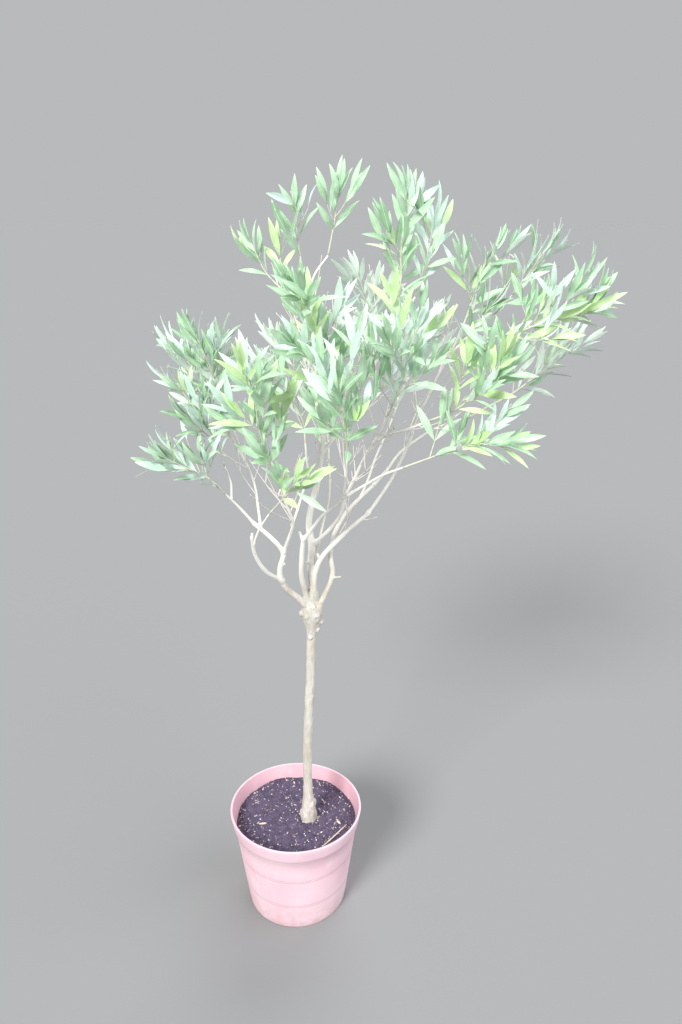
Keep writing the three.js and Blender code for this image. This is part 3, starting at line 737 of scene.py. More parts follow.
def mottle_group():
    """Soft cloudy patches between two levels, with their sharpness: used by every finish here."""
    tree = bpy.data.node_groups.new("mottle", "ShaderNodeTree")
    tree.interface.new_socket("Mask", in_out="OUTPUT", socket_type="NodeSocketFloat")
    inputs = {"Vector": "Vector", "Scale": "Float", "Detail": "Float", "From": "Float", "To": "Float"}
    given = add_inputs(tree, inputs)
    vector, scale, detail, low, high = (given[name] for name in inputs)
    put(tree, "NodeGroupOutput", {"Mask": rising(tree, cloudy(tree, vector, scale, detail), low, high)})
    return tree


MOTTLE = mottle_group()


def mottle(tree, vector, name, fineness=1.0):
    """One of the cloudy patterns, from 0 to 1."""
    stretch, scale, low, high, detail = PATTERNS[name]
    values = {"Vector": stretched(tree, vector, stretch), "Scale": scale * fineness}
    values.update({"Detail": detail, "From": low, "To": high})
    return result(tree, "Mask", "ShaderNodeGroup", values, node_tree=MOTTLE)


def blend_colours(tree, share, first, second):
    """A mix of two colours, each given as numbers or as another node's output."""
    first, second = (value if hasattr(value, "is_output") else colour(value) for value in (first, second))
    return result(tree, 2, "ShaderNodeMix", {0: share, 6: first, 7: second}, data_type="RGBA")


def washed(tree, base, over, mask, most):
    """A colour with another over it that shows at most this strongly, where the mask is 1."""
    return blend_colours(tree, levels(tree, mask, 0, most), base, over)


def shaded(tree, base, rgb, mask, shadows):
    """A colour under shadows, given as a share of this other colour and as how strongly they show."""
    darkness, strength = shadows
    return washed(tree, base, tuple(darkness * channel for channel in rgb), mask, strength)


def new_finish(name):
    """A new material, its tree, and the Object coordinates in it."""
    material = bpy.data.materials.new(name)
    material.use_nodes = True
    tree = material.node_tree
    return material, tree, result(tree, "Object", "ShaderNodeTexCoord")


def surfaced(material, kind, base, share, height):
    """Gives a material its colour, and the roughness and bumps of its kind of surface."""
    tree = material.node_tree
    surface = SURFACES[kind]
    bumps = {"Height": height, "Distance": surface.depth, "Strength": surface.strength}
    values = {
        "Base Color": base,
        "Roughness": levels(tree, share, *surface.roughness),
        "Specular IOR Level": surface.specular,
        "Sheen Weight": surface.sheen,
        "Normal": result(tree, "Normal", "ShaderNodeBump", bumps),
    }
    feed(tree, tree.nodes["Principled BSDF"], values)
    return material


def plastic_finish(name, pink, faded_pink, chalk):
    """Faded pink plastic, with scuffs, watermarks and dust towards its foot."""
    material, tree, place = new_finish(name)
    base = blend_colours(tree, mottle(tree, place, "plastic_faded"), pink, faded_pink)
    chalky = mottle(tree, place, "plastic_chalk")
    base = washed(tree, base, chalk, chalky, CHALK_MOST)
    low = rising(tree, height_of(tree, place), SPLASHED_TO, 0.0)
    splashed = computed(tree, "MULTIPLY", low, mottle(tree, place, "plastic_splashes"))
    base = washed(tree, base, DIRT, splashed, DIRT_MOST)
    lines = cloudy(tree, stretched(tree, place, PLASTIC_LINES), 1.0)
    grain = cloudy(tree, place, PLASTIC_GRAIN)
    bumps = computed(tree, "MULTIPLY_ADD", lines, PLASTIC_LINES_WEIGHT, grain)
    return surfaced(material, "plastic", base, chalky, bumps)


def compost_finish(name, dark, light, scale):
    """Dark crumbly compost, browner where it has dried."""
    material, tree, place = new_finish(name)
    base = blend_colours(tree, mottle(tree, place, "compost_clods", scale), dark, light)
    grit = mottle(tree, place, "compost_grit")
    base = shaded(tree, base, dark, grit, COMPOST_SHADOWS)
    return surfaced(material, "compost", base, grit, grit)


def two_toned(name, kind, pattern, first, second, grain=None):
    """A finish whose two colours follow one pattern, and its bumps the same or another."""
    material, tree, place = new_finish(name)
    share = mottle(tree, place, pattern)
    base = blend_colours(tree, share, first, second)
    height = mottle(tree, place, grain) if grain else share
    return surfaced(material, kind, base, share, height)


def plain_finish(name):
    return two_toned(name, *PLAIN_FINISHES[name])


def bark_pattern(tree, place, pale, warm, green, size):
    """Smooth young bark: long faint streaks, grey-green and buff patches, and small raised pores."""
    streaks, patches, mossy = (mottle(tree, place, name, size) for name in BARK_PATTERNS)
    cells = {"Vector": stretched(tree, place, PORE_SHAPE), "Scale": PORE_SCALE * size}
    pore = rising(tree, result(tree, "Distance", "ShaderNodeTexVoronoi", cells), *PORE_EDGE)
    base = blend_colours(tree, patches, pale, warm)
    base = washed(tree, base, green, mossy, BARK_GREEN)
    base = shaded(tree, base, warm, rising(tree, streaks, 1, 0), BARK_STREAKS)
    base = shaded(tree, base, warm, pore, BARK_PORES)
    return base, computed(tree, "MULTIPLY_ADD", pore, PORE_WEIGHT, streaks)


def bark_finish(name, pale, warm, green, size):
    """Bark that runs along its limb, and straight up where limbs meet, painted paler up on the boughs as
    painted light.
    """
    material, tree, upright = new_finish(name)
    straight = result(tree, "Vector", "ShaderNodeAttribute", attribute_name="bark_place")
    shown = result(tree, "Fac", "ShaderNodeAttribute", attribute_name="bark_shown")
    base, height = bark_pattern(tree, straight, pale, warm, green, size)
    crotch_base, crotch_height = bark_pattern(tree, upright, pale, warm, green, size)
    base = blend_colours(tree, shown, crotch_base, base)
    height = levels(tree, shown, crotch_height, height)
    # painted light: the bark turns paler with height, where the crown shades the boughs
    aloft = rising(tree, height_of(tree, upright), *PAINTED_LIGHT_HEIGHTS)
    base = washed(tree, base, PAINTED_LIGHT_COLOUR, aloft, PAINTED_LIGHT_MOST)
    return surfaced(material, "bark", base, height, height)


def leaf_finish(name, kind, dark, light):
    """One tint of leaf, a little cloudy, with fine grain."""
    return two_toned(name, kind, "leaf_cloud", dark, light, "leaf_grain")


# The pot


WALL_SLOPE = (SHOULDER_RADIUS - FOOT_RADIUS) / (POT_HEIGHT - BAND_HEIGHT)


def wall_outside(height):
    return FOOT_RADIUS + WALL_SLOPE * height


def wall_inside(height):
    return wall_outside(height) - WALL


def arc(centre, radius, start, end, steps=5):
    """Points on an arc in the pot's profile, from one angle to another in degrees."""
    angles = np.radians(np.linspace(start, end, steps + 1))
    return [(centre[0] + radius * math.cos(a), centre[1] + radius * math.sin(a)) for a in angles]


def moulded_ring(middle):
    """A low band round the wall, with a fine groove along each edge."""
    points = []
    for share in np.linspace(-0.5, 0.5, RING_POINTS):
        height = middle + RING_WIDTH * share
        rise = RING_RISE * float(smoothstep(0.5 - abs(share), 0, RING_RAMP))
        for groove in GROOVES:
            rise -= GROOVE_DEPTH * math.exp(-((2 * RING_WIDTH * (share - groove) / GROOVE_WIDTH) ** 2))
        points.append((wall_outside(height) + rise, height))
    return points


def pot_profile():
    """From the middle of the underside, up the outside, over the rim and down to the middle of the floor."""
    band_foot = POT_HEIGHT - BAND_HEIGHT
    recess = FOOT_RADIUS - FOOT_RIM
    profile = [(0, FOOT_RECESS), (recess - FOOT_SLANT, FOOT_RECESS), (recess, 0)]
    profile += arc((FOOT_RADIUS - FOOT_EDGE, FOOT_EDGE), FOOT_EDGE, -90, -8)
    profile += [(wall_outside(height), height) for height in WALL_HEIGHTS]
    for middle in RING_HEIGHTS:
        profile += moulded_ring(middle)
        profile.append((wall_outside(middle + RING_ABOVE), middle + RING_ABOVE))
    profile += [(SHOULDER_RADIUS + out, band_foot + up) for out, up in UNDER_BAND]
    profile += arc((SHOULDER_RADIUS + BAND_STEP - BAND_EDGE, band_foot + BAND_EDGE), BAND_EDGE, -90, -5, 4)
    for share in BAND_SHARES:
        radius = between(SHOULDER_RADIUS + BAND_STEP, RIM_RADIUS, share)
        profile.append((radius, between(band_foot, POT_HEIGHT, share)))
    outer, inner = RIM_EDGES
    profile += arc((RIM_RADIUS - outer, POT_HEIGHT - outer), outer, 0, 90, 4)
    profile += arc((RIM_RADIUS - RIM_THICKNESS + inner, POT_HEIGHT - inner), inner, 90, 180, 3)
    profile += [(wall_inside(band_foot) + out, band_foot + up) for out, up in BEHIND_BAND]
    profile += [(wall_inside(height), height) for height in INSIDE_HEIGHTS]
    profile += [(wall_inside(FLOOR), FLOOR), (0, FLOOR)]
    return profile


def lathe(profile, count):
    """Corners and faces of a profile turned round the upright axis, from one point on it to another."""
    radii, heights = np.array(profile[1:-1]).T
    rings = upright_rings(radii, heights, count).reshape(-1, 3)
    corners = np.vstack((rings, ((0, 0, profile[0][1]), (0, 0, profile[-1][1]))))
    first, last = len(corners) - 2, len(corners) - 1
    top = (len(radii) - 1) * count
    faces = []
    for k in range(count):
        after = (k + 1) % count
        faces.append((first, after, k))
        faces.append((last, top + k, top + after))
        for i in range(len(radii) - 1):
            a, b = i * count + k, i * count + after
            faces.append((a, b, b + count, a + count))
    return corners, faces


def pot_finish_of(corners):
    """The name of the finish that a face of the pot has, from its corners."""
    middle = corners.mean(axis=0)
    way = np.cross(corners[1] - corners[0], corners[-1] - corners[0])
    # painted shade: faces that look inwards take the darker inside finish
    if way[:2] @ middle[:2] < 0:
        return "pot_inside_shade"
    # painted shade: the band's faces take a darker finish
    if middle[2] > POT_HEIGHT - BAND_HEIGHT:
        return "pot_band_shade"
    # painted shade: faces in the grooves take the darker groove finish
    grooves = [ring + RING_WIDTH * share for ring in RING_HEIGHTS for share in GROOVES]
    in_groove = min(abs(middle[2] - groove) for groove in grooves) < GROOVE_WIDTH / 2
    return "pot_groove_shade" if in_groove else "pot_plastic"


def make_pot():
    """The shell, paler on its wall than inside and on its thick band, both darkened as painted shade, and
    with painted shade in its grooves.
    """
    materials = [plastic_finish(name, *colours) for name, colours in PLASTICS.items()]
    names = list(PLASTICS)
    corners, faces = lathe(pot_profile(), POT_SIDES)
    stock = Stock()
    stock.add(corners, faces, finishes=[names.index(pot_finish_of(corners[list(face)])) for face in faces])
    new_piece("pot_shell", stock.mesh(), materials, ["pot"])


# The compost


def soil_height(x, y):
    """The height of the compost at a place: the source's lumps, with finer ones on them."""
    away = math.hypot(x - STEM_BENDS[0][0], y - STEM_BENDS[0][1])
    lumps = 1 + math.sin(x / SOIL_LUMP_SIZES[0] + 1) * math.cos(y / SOIL_LUMP_SIZES[1])
    share = float(smoothstep(away, *SOIL_LEVEL_RADII))
    height = SOIL_LEVEL + share * (SOIL_SLOPE * y - SOIL_LUMP * lumps)
    rim = math.hypot(x, y) / (wall_inside(SOIL_LEVEL) - 1)
    height -= SOIL_EDGE_DROP * float(smoothstep(rim, SOIL_EDGE_FROM, 1))
    for size, rise in SOIL_ROUGHNESS:
        height += rise * noise.noise(Vector((x / size, y / size, size)))
    return height


def soil_mesh():
    """The compost down to the pot's floor, its top finely lumpy."""
    off_floor, off_wall, off_top = SOIL_CLEAR
    inward, down = SOIL_EDGE_SIDE
    edge_height = SOIL_LEVEL - SOIL_EDGE_DROP
    edge = wall_inside(edge_height) - off_top
    profile = [(0, FLOOR + off_floor), (wall_inside(FLOOR) - off_wall, FLOOR + off_floor)]
    profile.append((edge - inward, edge_height - down))
    for share in np.linspace(1, 0, SOIL_RINGS + 1)[:-1] ** SOIL_CROWDING:
        profile.append((edge * share, SOIL_LEVEL))
    corners, faces = lathe([*profile, (0, SOIL_LEVEL)], SOIL_SIDES)
    for corner in corners:
        if corner[2] > SOIL_LEVEL - 1:
            corner[2] = soil_height(corner[0], corner[1])
    stock = Stock()
    stock.add(corners, faces)
    return stock.mesh()


def changed(tree, kind, geometry, values=None):
    """A geometry after one more node."""
    return result(tree, "Geometry", kind, {"Geometry": geometry, **(values or {})})


def lump_in(tree, place, stretch):
    """A dented lump, as long as its stretch says."""
    lump = result(tree, "Mesh", "GeometryNodeMeshIcoSphere", {"Radius": 1.0, "Subdivisions": 2})
    dents = rising(tree, cloudy(tree, place, LUMP_DENTS, 1.0), *LUMP_DENT_LEVELS)
    swell = {0: place, "Scale": levels(tree, dents, *LUMP_SWELL)}
    moved = result(tree, 0, "ShaderNodeVectorMath", swell, operation="SCALE")
    lump = changed(tree, "GeometryNodeSetPosition", lump, {"Position": moved})
    return changed(tree, "GeometryNodeTransform", lump, {"Scale": stretch})


def scatter_tree():
    """Lumps strewn on a surface: how many to the square metre, how large, how long, and in what finish."""
    tree = bpy.data.node_groups.new("scatter", "GeometryNodeTree")
    tree.interface.new_socket("Geometry", in_out="OUTPUT", socket_type="NodeSocketGeometry")
    given = add_inputs(tree, {"Geometry": "Geometry", **LUMP_INPUTS, "Material": "Material"})
    normal = result(tree, "Normal", "GeometryNodeInputNormal")
    place = result(tree, "Position", "GeometryNodeInputPosition")
    facing_up = computed(tree, "GREATER_THAN", height_of(tree, normal), LUMPS_FACE_UP)
    high = computed(tree, "GREATER_THAN", height_of(tree, place), (SOIL_LEVEL - LUMPS_REACH_DOWN) * MM)
    values = {"Mesh": given["Geometry"], "Selection": computed(tree, "MULTIPLY", facing_up, high)}
    values.update({"Density": given["Density"], "Seed": given["Seed"]})
    points = result(tree, "Points", "GeometryNodeDistributePointsOnFaces", values)
    values = {2: given["Least size"], 3: given["Greatest size"], "Seed": given["Seed"]}
    size = result(tree, 1, "FunctionNodeRandomValue", values, data_type="FLOAT")
    least, most = (-LUMP_TILT, -LUMP_TILT, 0.0), (LUMP_TILT, LUMP_TILT, LUMP_TURN)
    values = {0: least, 1: most, "Seed": given["Seed"]}
    turn = result(tree, 0, "FunctionNodeRandomValue", values, data_type="FLOAT_VECTOR")
    lump = lump_in(tree, place, given["Stretch"])
    values = {"Points": points, "Instance": lump, "Rotation": turn, "Scale": size}
    strewn = result(tree, "Instances", "GeometryNodeInstanceOnPoints", values)
    lift = {"Z": computed(tree, "MULTIPLY", size, given["Lift"])}
    offset = result(tree, "Vector", "ShaderNodeCombineXYZ", lift)
    strewn = changed(tree, "GeometryNodeSetPosition", strewn, {"Offset": offset})
    strewn = changed(tree, "GeometryNodeRealizeInstances", strewn)
    strewn = changed(tree, "GeometryNodeSetMaterial", strewn, {"Material": given["Material"]})
    put(tree, "NodeGroupOutput", {"Geometry": strewn})
    return tree


def strewn_piece(tree, name, surface, material):
    """A piece of lumps strewn on a surface by the scatter tree, by its row of values."""
    helper = placed("surface", surface.copy())
    modifier = helper.modifiers.new("scatter", "NODES")
    modifier.node_group = tree
    sockets = {item.name: item.identifier for item in tree.interface.items_tree if item.in_out == "INPUT"}
    modifier[sockets["Material"]] = material
    for socket, value in zip(LUMP_INPUTS, STREWN[name]):
        modifier[sockets[socket]] = value
    new_piece(name, evaluated_mesh(helper), [material])


def make_compost():
    """The compost with all that lies on it."""
    dark, crumbly = (compost_finish(name, *values) for name, values in COMPOSTS.items())
    grit = plain_finish("perlite")
    dry_wood = plain_finish("dry_wood")
    surface = soil_mesh()
    new_piece("compost", surface, [dark], ["soil"])
    tree = scatter_tree()
    for name, material in zip(STREWN, (crumbly, crumbly, grit, dry_wood)):
        strewn_piece(tree, name, surface, material)
    make_sticks(dry_wood)


def make_sticks(material):
    """The pale stick that lies on the compost, and two larger chips."""
    stock = Stock()
    for number, (places, radius) in enumerate(STICKS):
        start, end = (np.array((*place, soil_height(*place) + radius + STICK_LIFT)) for place in places)
        dice = dice_of(f"stick {number}")
        points = Bend([start, between(start, end, 0.5) + STICK_BOW, end]).every(STICK_STEP)
        radii = []
        for share in np.linspace(0, 1, len(points)):
            taper = min(1, STICK_ENDS + 2 * min(share, 1 - share))
            radii.append(radius * between(*STICK_GIRTHS, dice()) * taper)
        stock.add(*tube(points, radii, STICK_SIDES))
    new_piece("fallen_stick", stock.mesh(), [material])


# Limbs


Limb = namedtuple("Limb", "points fine radii")  # the source's points, and a fine path with its thickness
Sample = namedtuple("Sample", "limb point axes travelled radius")


def stem_limb():
    """The stem, flared at the foot and swollen at the head, from a little under the compost."""
    bend = Bend(STEM_BENDS)
    steps = round(bend.length / WOOD_STEP)
    shares = np.linspace(0, 1, steps + 1)
    fine = bend.at(shares)
    flare = FLARE * np.exp(-((shares / FLARE_FADE) ** 2))
    swell = HEAD_SWELL * smoothstep(shares, *HEAD_SHARES)
    swell *= 1 - (1 - HEAD_ROUNDING) * smoothstep(shares, HEAD_TOP, 1)
    return Limb(bend.at(np.linspace(0, 1, STEM_POINTS)), fine, STEM_RADIUS + flare + swell)


def bough_limb(row, limbs):
    """A bough that starts in the middle of its parent, thicker where it leaves it."""
    name, parent, share, root, tip, *bends = row
    start = along(limbs[parent].points, share)[0]
    points = bent_path([start, *bends], BOUGH_STEP, BOUGH_NUDGE, dice_of(name))
    fine = Bend(points).every(WOOD_STEP)
    shares = np.linspace(0, 1, len(fine))
    radii = between(root, tip, shares) / 2
    distance = np.linalg.norm(fine - start, axis=1)
    buried = np.interp(share, np.linspace(0, 1, len(limbs[parent].radii)), limbs[parent].radii)
    past = np.maximum(0, distance - buried) / root
    return Limb(points, fine, radii * (1 + COLLAR * np.exp(-((past / COLLAR_FADE) ** 2))))


def grow_limbs():
    limbs = {"trunk": stem_limb()}
    for row in BOUGHS:
        limbs[row[0]] = bough_limb(row, limbs)
    return limbs


def stub_tubes(limbs, names):
    """The pruned stubs of the given limbs: short, and a little swollen round their cut."""
    for carrier, share, way, length, thickness in STUBS:
        if carrier not in names:
            continue
        start = along(limbs[carrier].points, share)[0]
        shares = np.linspace(0, 1, len(STUB_SHAPE))
        points = start + shares[:, None] * length * unit(np.array(way, float))
        yield tube(points, thickness / 2 * np.array(STUB_SHAPE), STUB_SIDES)


def relief(straight, radius):
    """How far the bark stands out, in millimetres, at a place on straightened bark."""
    a, b, s = straight
    rise = 0
    for across, lengthwise, share, most in RELIEF:
        level = noise.noise(Vector((a * across, b * across, s * lengthwise)))
        rise += level * min(most, share * radius)
    return rise


def limb_samples(limbs, names):
    """Points along the limbs with their axes, for finding where on which limb a corner lies."""
    samples = []
    tree = kdtree.KDTree(sum(len(limbs[name].fine) for name in names))
    for number, name in enumerate(names):
        limb = limbs[name]
        sides, others = frames_of(limb.fine)
        travelled = travelled_along(limb.fine) + LIMB_APART * number
        for i, point in enumerate(limb.fine):
            tree.insert(Vector(point), len(samples))
            axes = np.array((sides[i], others[i], np.cross(sides[i], others[i])))
            samples.append(Sample(number, point, axes, travelled[i], limb.radii[i]))
    tree.balance()
    return tree, samples


def wood_skin(limbs, names):
    """The stem and thick boughs with their stubs, grown together into one smooth skin."""
    stock = Stock()
    for name in names:
        stock.add(*tube(limbs[name].fine, limbs[name].radii, WOOD_SIDES))
    for stub in stub_tubes(limbs, names):
        stock.add(*stub)
    helper = placed("wood", stock.mesh())
    remesh = helper.modifiers.new("remesh", "REMESH")
    remesh.mode = "VOXEL"
    remesh.voxel_size = WOOD_GRAIN * MM
    remesh.use_smooth_shade = True
    smooth = helper.modifiers.new("smooth", "SMOOTH")
    smooth.factor, smooth.iterations = WOOD_SMOOTHING
    return evaluated_mesh(helper)


def read_corners(mesh, kind):
    """Each corner's place, kind "co", or the way that the skin faces there, kind "normal"."""
    values = np.empty(len(mesh.vertices) * 3, np.float32)
    mesh.vertices.foreach_get(kind, values)
    return values.reshape(-1, 3).astype(float)


def joined_wood(limbs, names):
    """The skin with the bark's relief on it, which runs along each limb, and upright where two meet."""
    mesh = wood_skin(limbs, names)
    corners = read_corners(mesh, "co")
    normals = read_corners(mesh, "normal")
    tree, samples = limb_samples(limbs, names)
    straight = np.empty(corners.shape)
    along_limb, straight_up, faded_in = np.empty((3, len(corners)))
    for i, corner in enumerate(corners / MM):
        near = tree.find_n(corner, NEAR_SAMPLES)
        nearest = samples[near[0][1]]
        strange = (away for _, number, away in near if samples[number].limb != nearest.limb)
        gap = next(strange, math.inf) - near[0][2]
        straight[i] = nearest.axes @ (corner - nearest.point) + (0, 0, nearest.travelled)
        along_limb[i] = relief(straight[i], nearest.radius)
        straight_up[i] = relief(corner, nearest.radius)
        faded_in[i] = min(1, (gap - CROTCH_GAP) / (CROTCH_FADE * nearest.radius))
    shown = smoothstep(faded_in, 0, 1)
    rise = between(straight_up, along_limb, shown)
    corners += normals * (rise * MM)[:, None]
    mesh.vertices.foreach_set("co", corners.astype(np.float32).ravel())
    keep_straight(mesh, straight, shown)
    mesh.update()
    return mesh


def relief_tubes(limbs, names):
    """The thin boughs, each a tube with relief, its root inside its parent."""
    stock = Stock()
    for number, name in enumerate(names):
        limb = limbs[name]
        corners, faces, straight = tube(limb.fine, limb.radii, THIN_SIDES)
        straight[:, 2] += LIMB_APART * number
        middle = np.repeat(limb.fine, THIN_SIDES, axis=0)
        radii = np.repeat(limb.radii, THIN_SIDES)
        rises = np.array([relief(*pair) for pair in zip(straight, radii)])
        corners += (corners - middle) / radii[:, None] * rises[:, None]
        stock.add(corners, faces, straight)
    mesh = stock.mesh()
    keep_straight(mesh, np.vstack(stock.straight), np.ones(stock.count))
    return mesh


def make_limbs(limbs):
    thick = ["trunk"] + [row[0] for row in BOUGHS if row[3] > THICK_FROM]
    thin = [row[0] for row in BOUGHS if row[3] <= THICK_FROM]
    bark, young = (bark_finish(name, *values) for name, values in BARKS.items())
    stood_for = ["trunk"] + ["bough_" + name for name in thick[1:]]
    new_piece("stem_and_boughs", joined_wood(limbs, thick), [bark], stood_for)
    new_piece("thin_boughs", relief_tubes(limbs, thin), [young], ["bough_" + name for name in thin])


# Foliage


class Twig:
    """A twig: its path, its thickness at root and tip, and the share of it that stays bare."""

    def __init__(self, points, radii, bare):
        self.points = points
        self.radii = radii
        self.bare = bare

    def leafy_length(self):
        return float(np.linalg.norm(self.points[0] - self.points[-1])) * (1 - self.bare)

    def skin(self):
        corners, faces, _ = tube(self.points, np.linspace(*self.radii, len(self.points)), TWIG_TUBE_SIDES)
        return corners, faces

    def keeps_inside(self, space):
        """Whether all of it but its root is in its mass's space."""
        return is_inside(self.skin()[0][TWIG_TUBE_SIDES:], space)


def side_twig(stem, share, angle, length, dice):
    """The two ends of a twig that leaves its stem to one side and turns up."""
    point, way = along(stem, share)
    side = turned(unit(np.cross(UP, way)), way, angle)
    lean = math.radians(TWIG_LEAN + TWIG_LEAN_SPREAD * (dice() - 0.5))
    lifted = unit(way * math.cos(lean) + side * math.sin(lean) + UP * TWIG_LIFT)
    return np.array((point, point + lifted * length))


def curved(ends):
    """A twig between two ends that dips before it turns up."""
    length = np.linalg.norm(ends[1] - ends[0])
    middle = between(ends[0], ends[1], 0.5) - UP * TWIG_SAG * length
    return Bend([ends[0], middle, ends[1]]).every(TWIG_TUBE_STEP)


def grow_twigs(row, limbs, space):
    """The source's stem and side twigs of a mass, and finer twigs on those that keep inside its space."""
    name, bough, bends, count, twig_length, bare = row
    dice = dice_of(name)
    stem = bent_path([limbs[bough].points[-1], *bends], TWIG_STEP, TWIG_NUDGE, dice)
    start_radius = max(STEM_TWIG_RADII[0], limbs[bough].radii[-1])
    twigs = [Twig(Bend(stem).every(TWIG_TUBE_STEP), (start_radius, STEM_TWIG_RADII[1]), bare)]
    turn = 360 * dice()
    for i in range(count):
        share = between(max(bare, TWIG_SPAN[0]), TWIG_SPAN[1], (i + TWIG_STAGGER * dice()) / count)
        length = twig_length * between(*TWIG_LENGTHS, share) * between(*TWIG_SIZES, dice())
        angle = turn + i * GOLDEN_ANGLE + TWIG_TURN_SPREAD * dice()
        ends = side_twig(stem, share, angle, length, dice)
        twigs.append(Twig(curved(ends), SIDE_TWIG_RADII, TWIG_BARE))
    twigs = [twig for twig in twigs if twig.keeps_inside(space)]
    return twigs + [twig for twig in finer_twigs(name, twigs) if twig.keeps_inside(space)]


def finer_twigs(name, twigs):
    """Short twigs by the same rule, on a mass's stem and side twigs."""
    dice = dice_of(name + " finer")
    finer = []
    for twig in twigs:
        count = int(twig.leafy_length() / FINE_TWIG_SPACING + FINE_TWIG_STAGGER * dice())
        turn = 360 * dice()
        for i in range(count):
            share = between(max(twig.bare, FINE_TWIG_SPAN[0]), FINE_TWIG_SPAN[1], (i + dice()) / count)
            length = between(*FINE_TWIG_LENGTHS, dice())
            ends = side_twig(twig.points, share, turn + i * GOLDEN_ANGLE, length, dice)
            finer.append(Twig(curved(ends), FINE_TWIG_RADII, FINE_TWIG_BARE))
    return finer


# Where a leaf grows: its foot, the way it points, the way its upper side faces, and its size
Leaf = namedtuple("Leaf", "point way face size")


def leaf_on(points, share, angle, hand, dice):
    """A leaf on one hand of its twig, 1 or -1; a hand near 0 carries on the twig's own way."""
    point, way = along(points, share)
    side = turned(unit(np.cross(UP, way)), way, angle)
    lean = hand * math.radians(between(*LEAF_LEANS, share) + LEAF_LEAN_SPREAD * (dice() - 0.5))
    leaf_way = unit(way * math.cos(lean) + side * math.sin(lean) + UP * LEAF_LIFT)
    out = unit((point - CROWN_MIDDLE) * FACING)
    face = way * LEAF_FACE[0] + out * LEAF_FACE[1] + UP * LEAF_FACE[2]
    face = unit(face - leaf_way * (face @ leaf_way))
    face = turned(face, leaf_way, LEAF_ROLL * (dice() - 0.5))
    return Leaf(point, leaf_way, face, between(*LEAF_SIZES, dice()))


def grow_leaves(twig, dice):
    """A pair of leaves at each node, closer towards the tip, and two that end the twig."""
    pairs = max(1, round(twig.leafy_length() / LEAF_SPACING))
    turn = 180 * dice()
    leaves = []
    for i in range(pairs):
        place = (i + LEAF_PAIR_ENDS[0]) / (pairs + LEAF_PAIR_ENDS[1])
        share = between(twig.bare, 1, place**LEAF_CROWDING)
        for hand in (1, -1):
            leaves.append(leaf_on(twig.points, share, turn + 90 * i, hand, dice))
    for hand in END_LEAF_HANDS:
        leaf = leaf_on(twig.points, END_LEAF_SHARE, turn + 90 * pairs, hand, dice)
        leaves.append(leaf._replace(size=leaf.size * END_LEAF_SIZE))
    return leaves


def leaf_faces():
    """Faces between the rings of corners round a leaf, and which of its three finishes each has: 0 is the
    upper side, 1 the lower side and 2 the midrib. Upper and lower side are cut into triangles alike, so
    that neither pokes through the other where the leaf is twisted."""
    faces, kinds = [], []
    strips = ((0, 1, 0), (2, 1, 2), (3, 2, 0), (3, 4, 1), (5, 4, 1), (0, 5, 1))
    last = LEAF_SIDES * (len(LEAF_SHARES) - 1)
    for here in range(0, last, LEAF_SIDES):
        there = here + LEAF_SIDES
        for cut, other, kind in strips:
            pair = [(here + cut, there + cut, there + other), (here + cut, there + other, here + other)]
            if (other - cut) % LEAF_SIDES != 1:
                pair = [corners[::-1] for corners in pair]
            faces += pair
            kinds += [kind, kind]
    around = range(LEAF_SIDES)
    faces += [tuple(around), tuple(last + k for k in around[::-1])]
    return faces, kinds + [1, 1]


LEAF_FACES, LEAF_KINDS = leaf_faces()


def leaf_width(share):
    """Half the width of the blade at a share of its length, against its widest."""
    if share <= LEAF_STALK:
        return LEAF_STALK_WIDTH
    blade = (share - LEAF_STALK) / (1 - LEAF_STALK)
    full = math.sin(math.pi * blade ** LEAF_BELLY[0]) ** LEAF_BELLY[1]
    return max(LEAF_TIP_WIDTH, LEAF_STALK_WIDTH * (1 - blade), full)


LEAF_OUTLINE = np.array([leaf_width(share) for share in LEAF_SHARES])


def leaf_corners(leaf, dice):
    """A narrow leaf: stalk, blade folded a little along its rib, arched along its length and twisted."""
    length = LEAF_LENGTH * leaf.size
    half = LEAF_OUTLINE * length * LEAF_RATIO * between(*LEAF_WIDTHS, dice()) / 2
    arch = between(*LEAF_ARCHES, dice())
    fold = between(*LEAF_FOLDS, dice())
    twist = between(*LEAF_TWISTS, dice())
    shares = np.array(LEAF_SHARES)
    slopes = arch * (0.5 - (shares[1:] + shares[:-1]) / 2)
    steps = np.diff(shares) * length
    x = np.concatenate(((0,), np.cumsum(steps * np.cos(slopes))))
    z = np.concatenate(((0,), np.cumsum(steps * np.sin(slopes))))
    rib = np.minimum(half * LEAF_RIB_SHARE, LEAF_RIB[0] * half.max() + LEAF_RIB[1])
    across = np.stack((-half, -rib, rib, half, rib * LEAF_UNDER, -rib * LEAF_UNDER), axis=1)
    lift = np.abs(across) * fold
    lift[:, 4:] -= LEAF_THICKNESS
    turn = twist * shares[:, None]
    y = across * np.cos(turn) - lift * np.sin(turn)
    up = across * np.sin(turn) + lift * np.cos(turn)
    side = np.cross(leaf.face, leaf.way)
    spots = leaf.point + x[:, None, None] * leaf.way + (z[:, None] + up)[..., None] * leaf.face
    return (spots - y[..., None] * side).reshape(-1, 3)


class Crown:
    """The limbs, which new leaves keep clear of."""

    def __init__(self, limbs):
        self.tree, self.samples = limb_samples(limbs, list(limbs))

    def is_clear(self, leaf):
        """Whether a leaf's outer half passes no limb too closely."""
        for share in LEAF_TRIED_AT:
            spot = leaf.point + leaf.way * share * LEAF_LENGTH * leaf.size
            _, number, away = self.tree.find(spot)
            if away < self.samples[number].radius + LEAF_CLEAR:
                return False
        return True


def space_of(name):
    """The lowest and highest corner of a mass's space, with the little that leaves may add."""
    low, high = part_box(name)
    return np.array(low) / MM - LEAF_OVER, np.array(high) / MM + LEAF_OVER


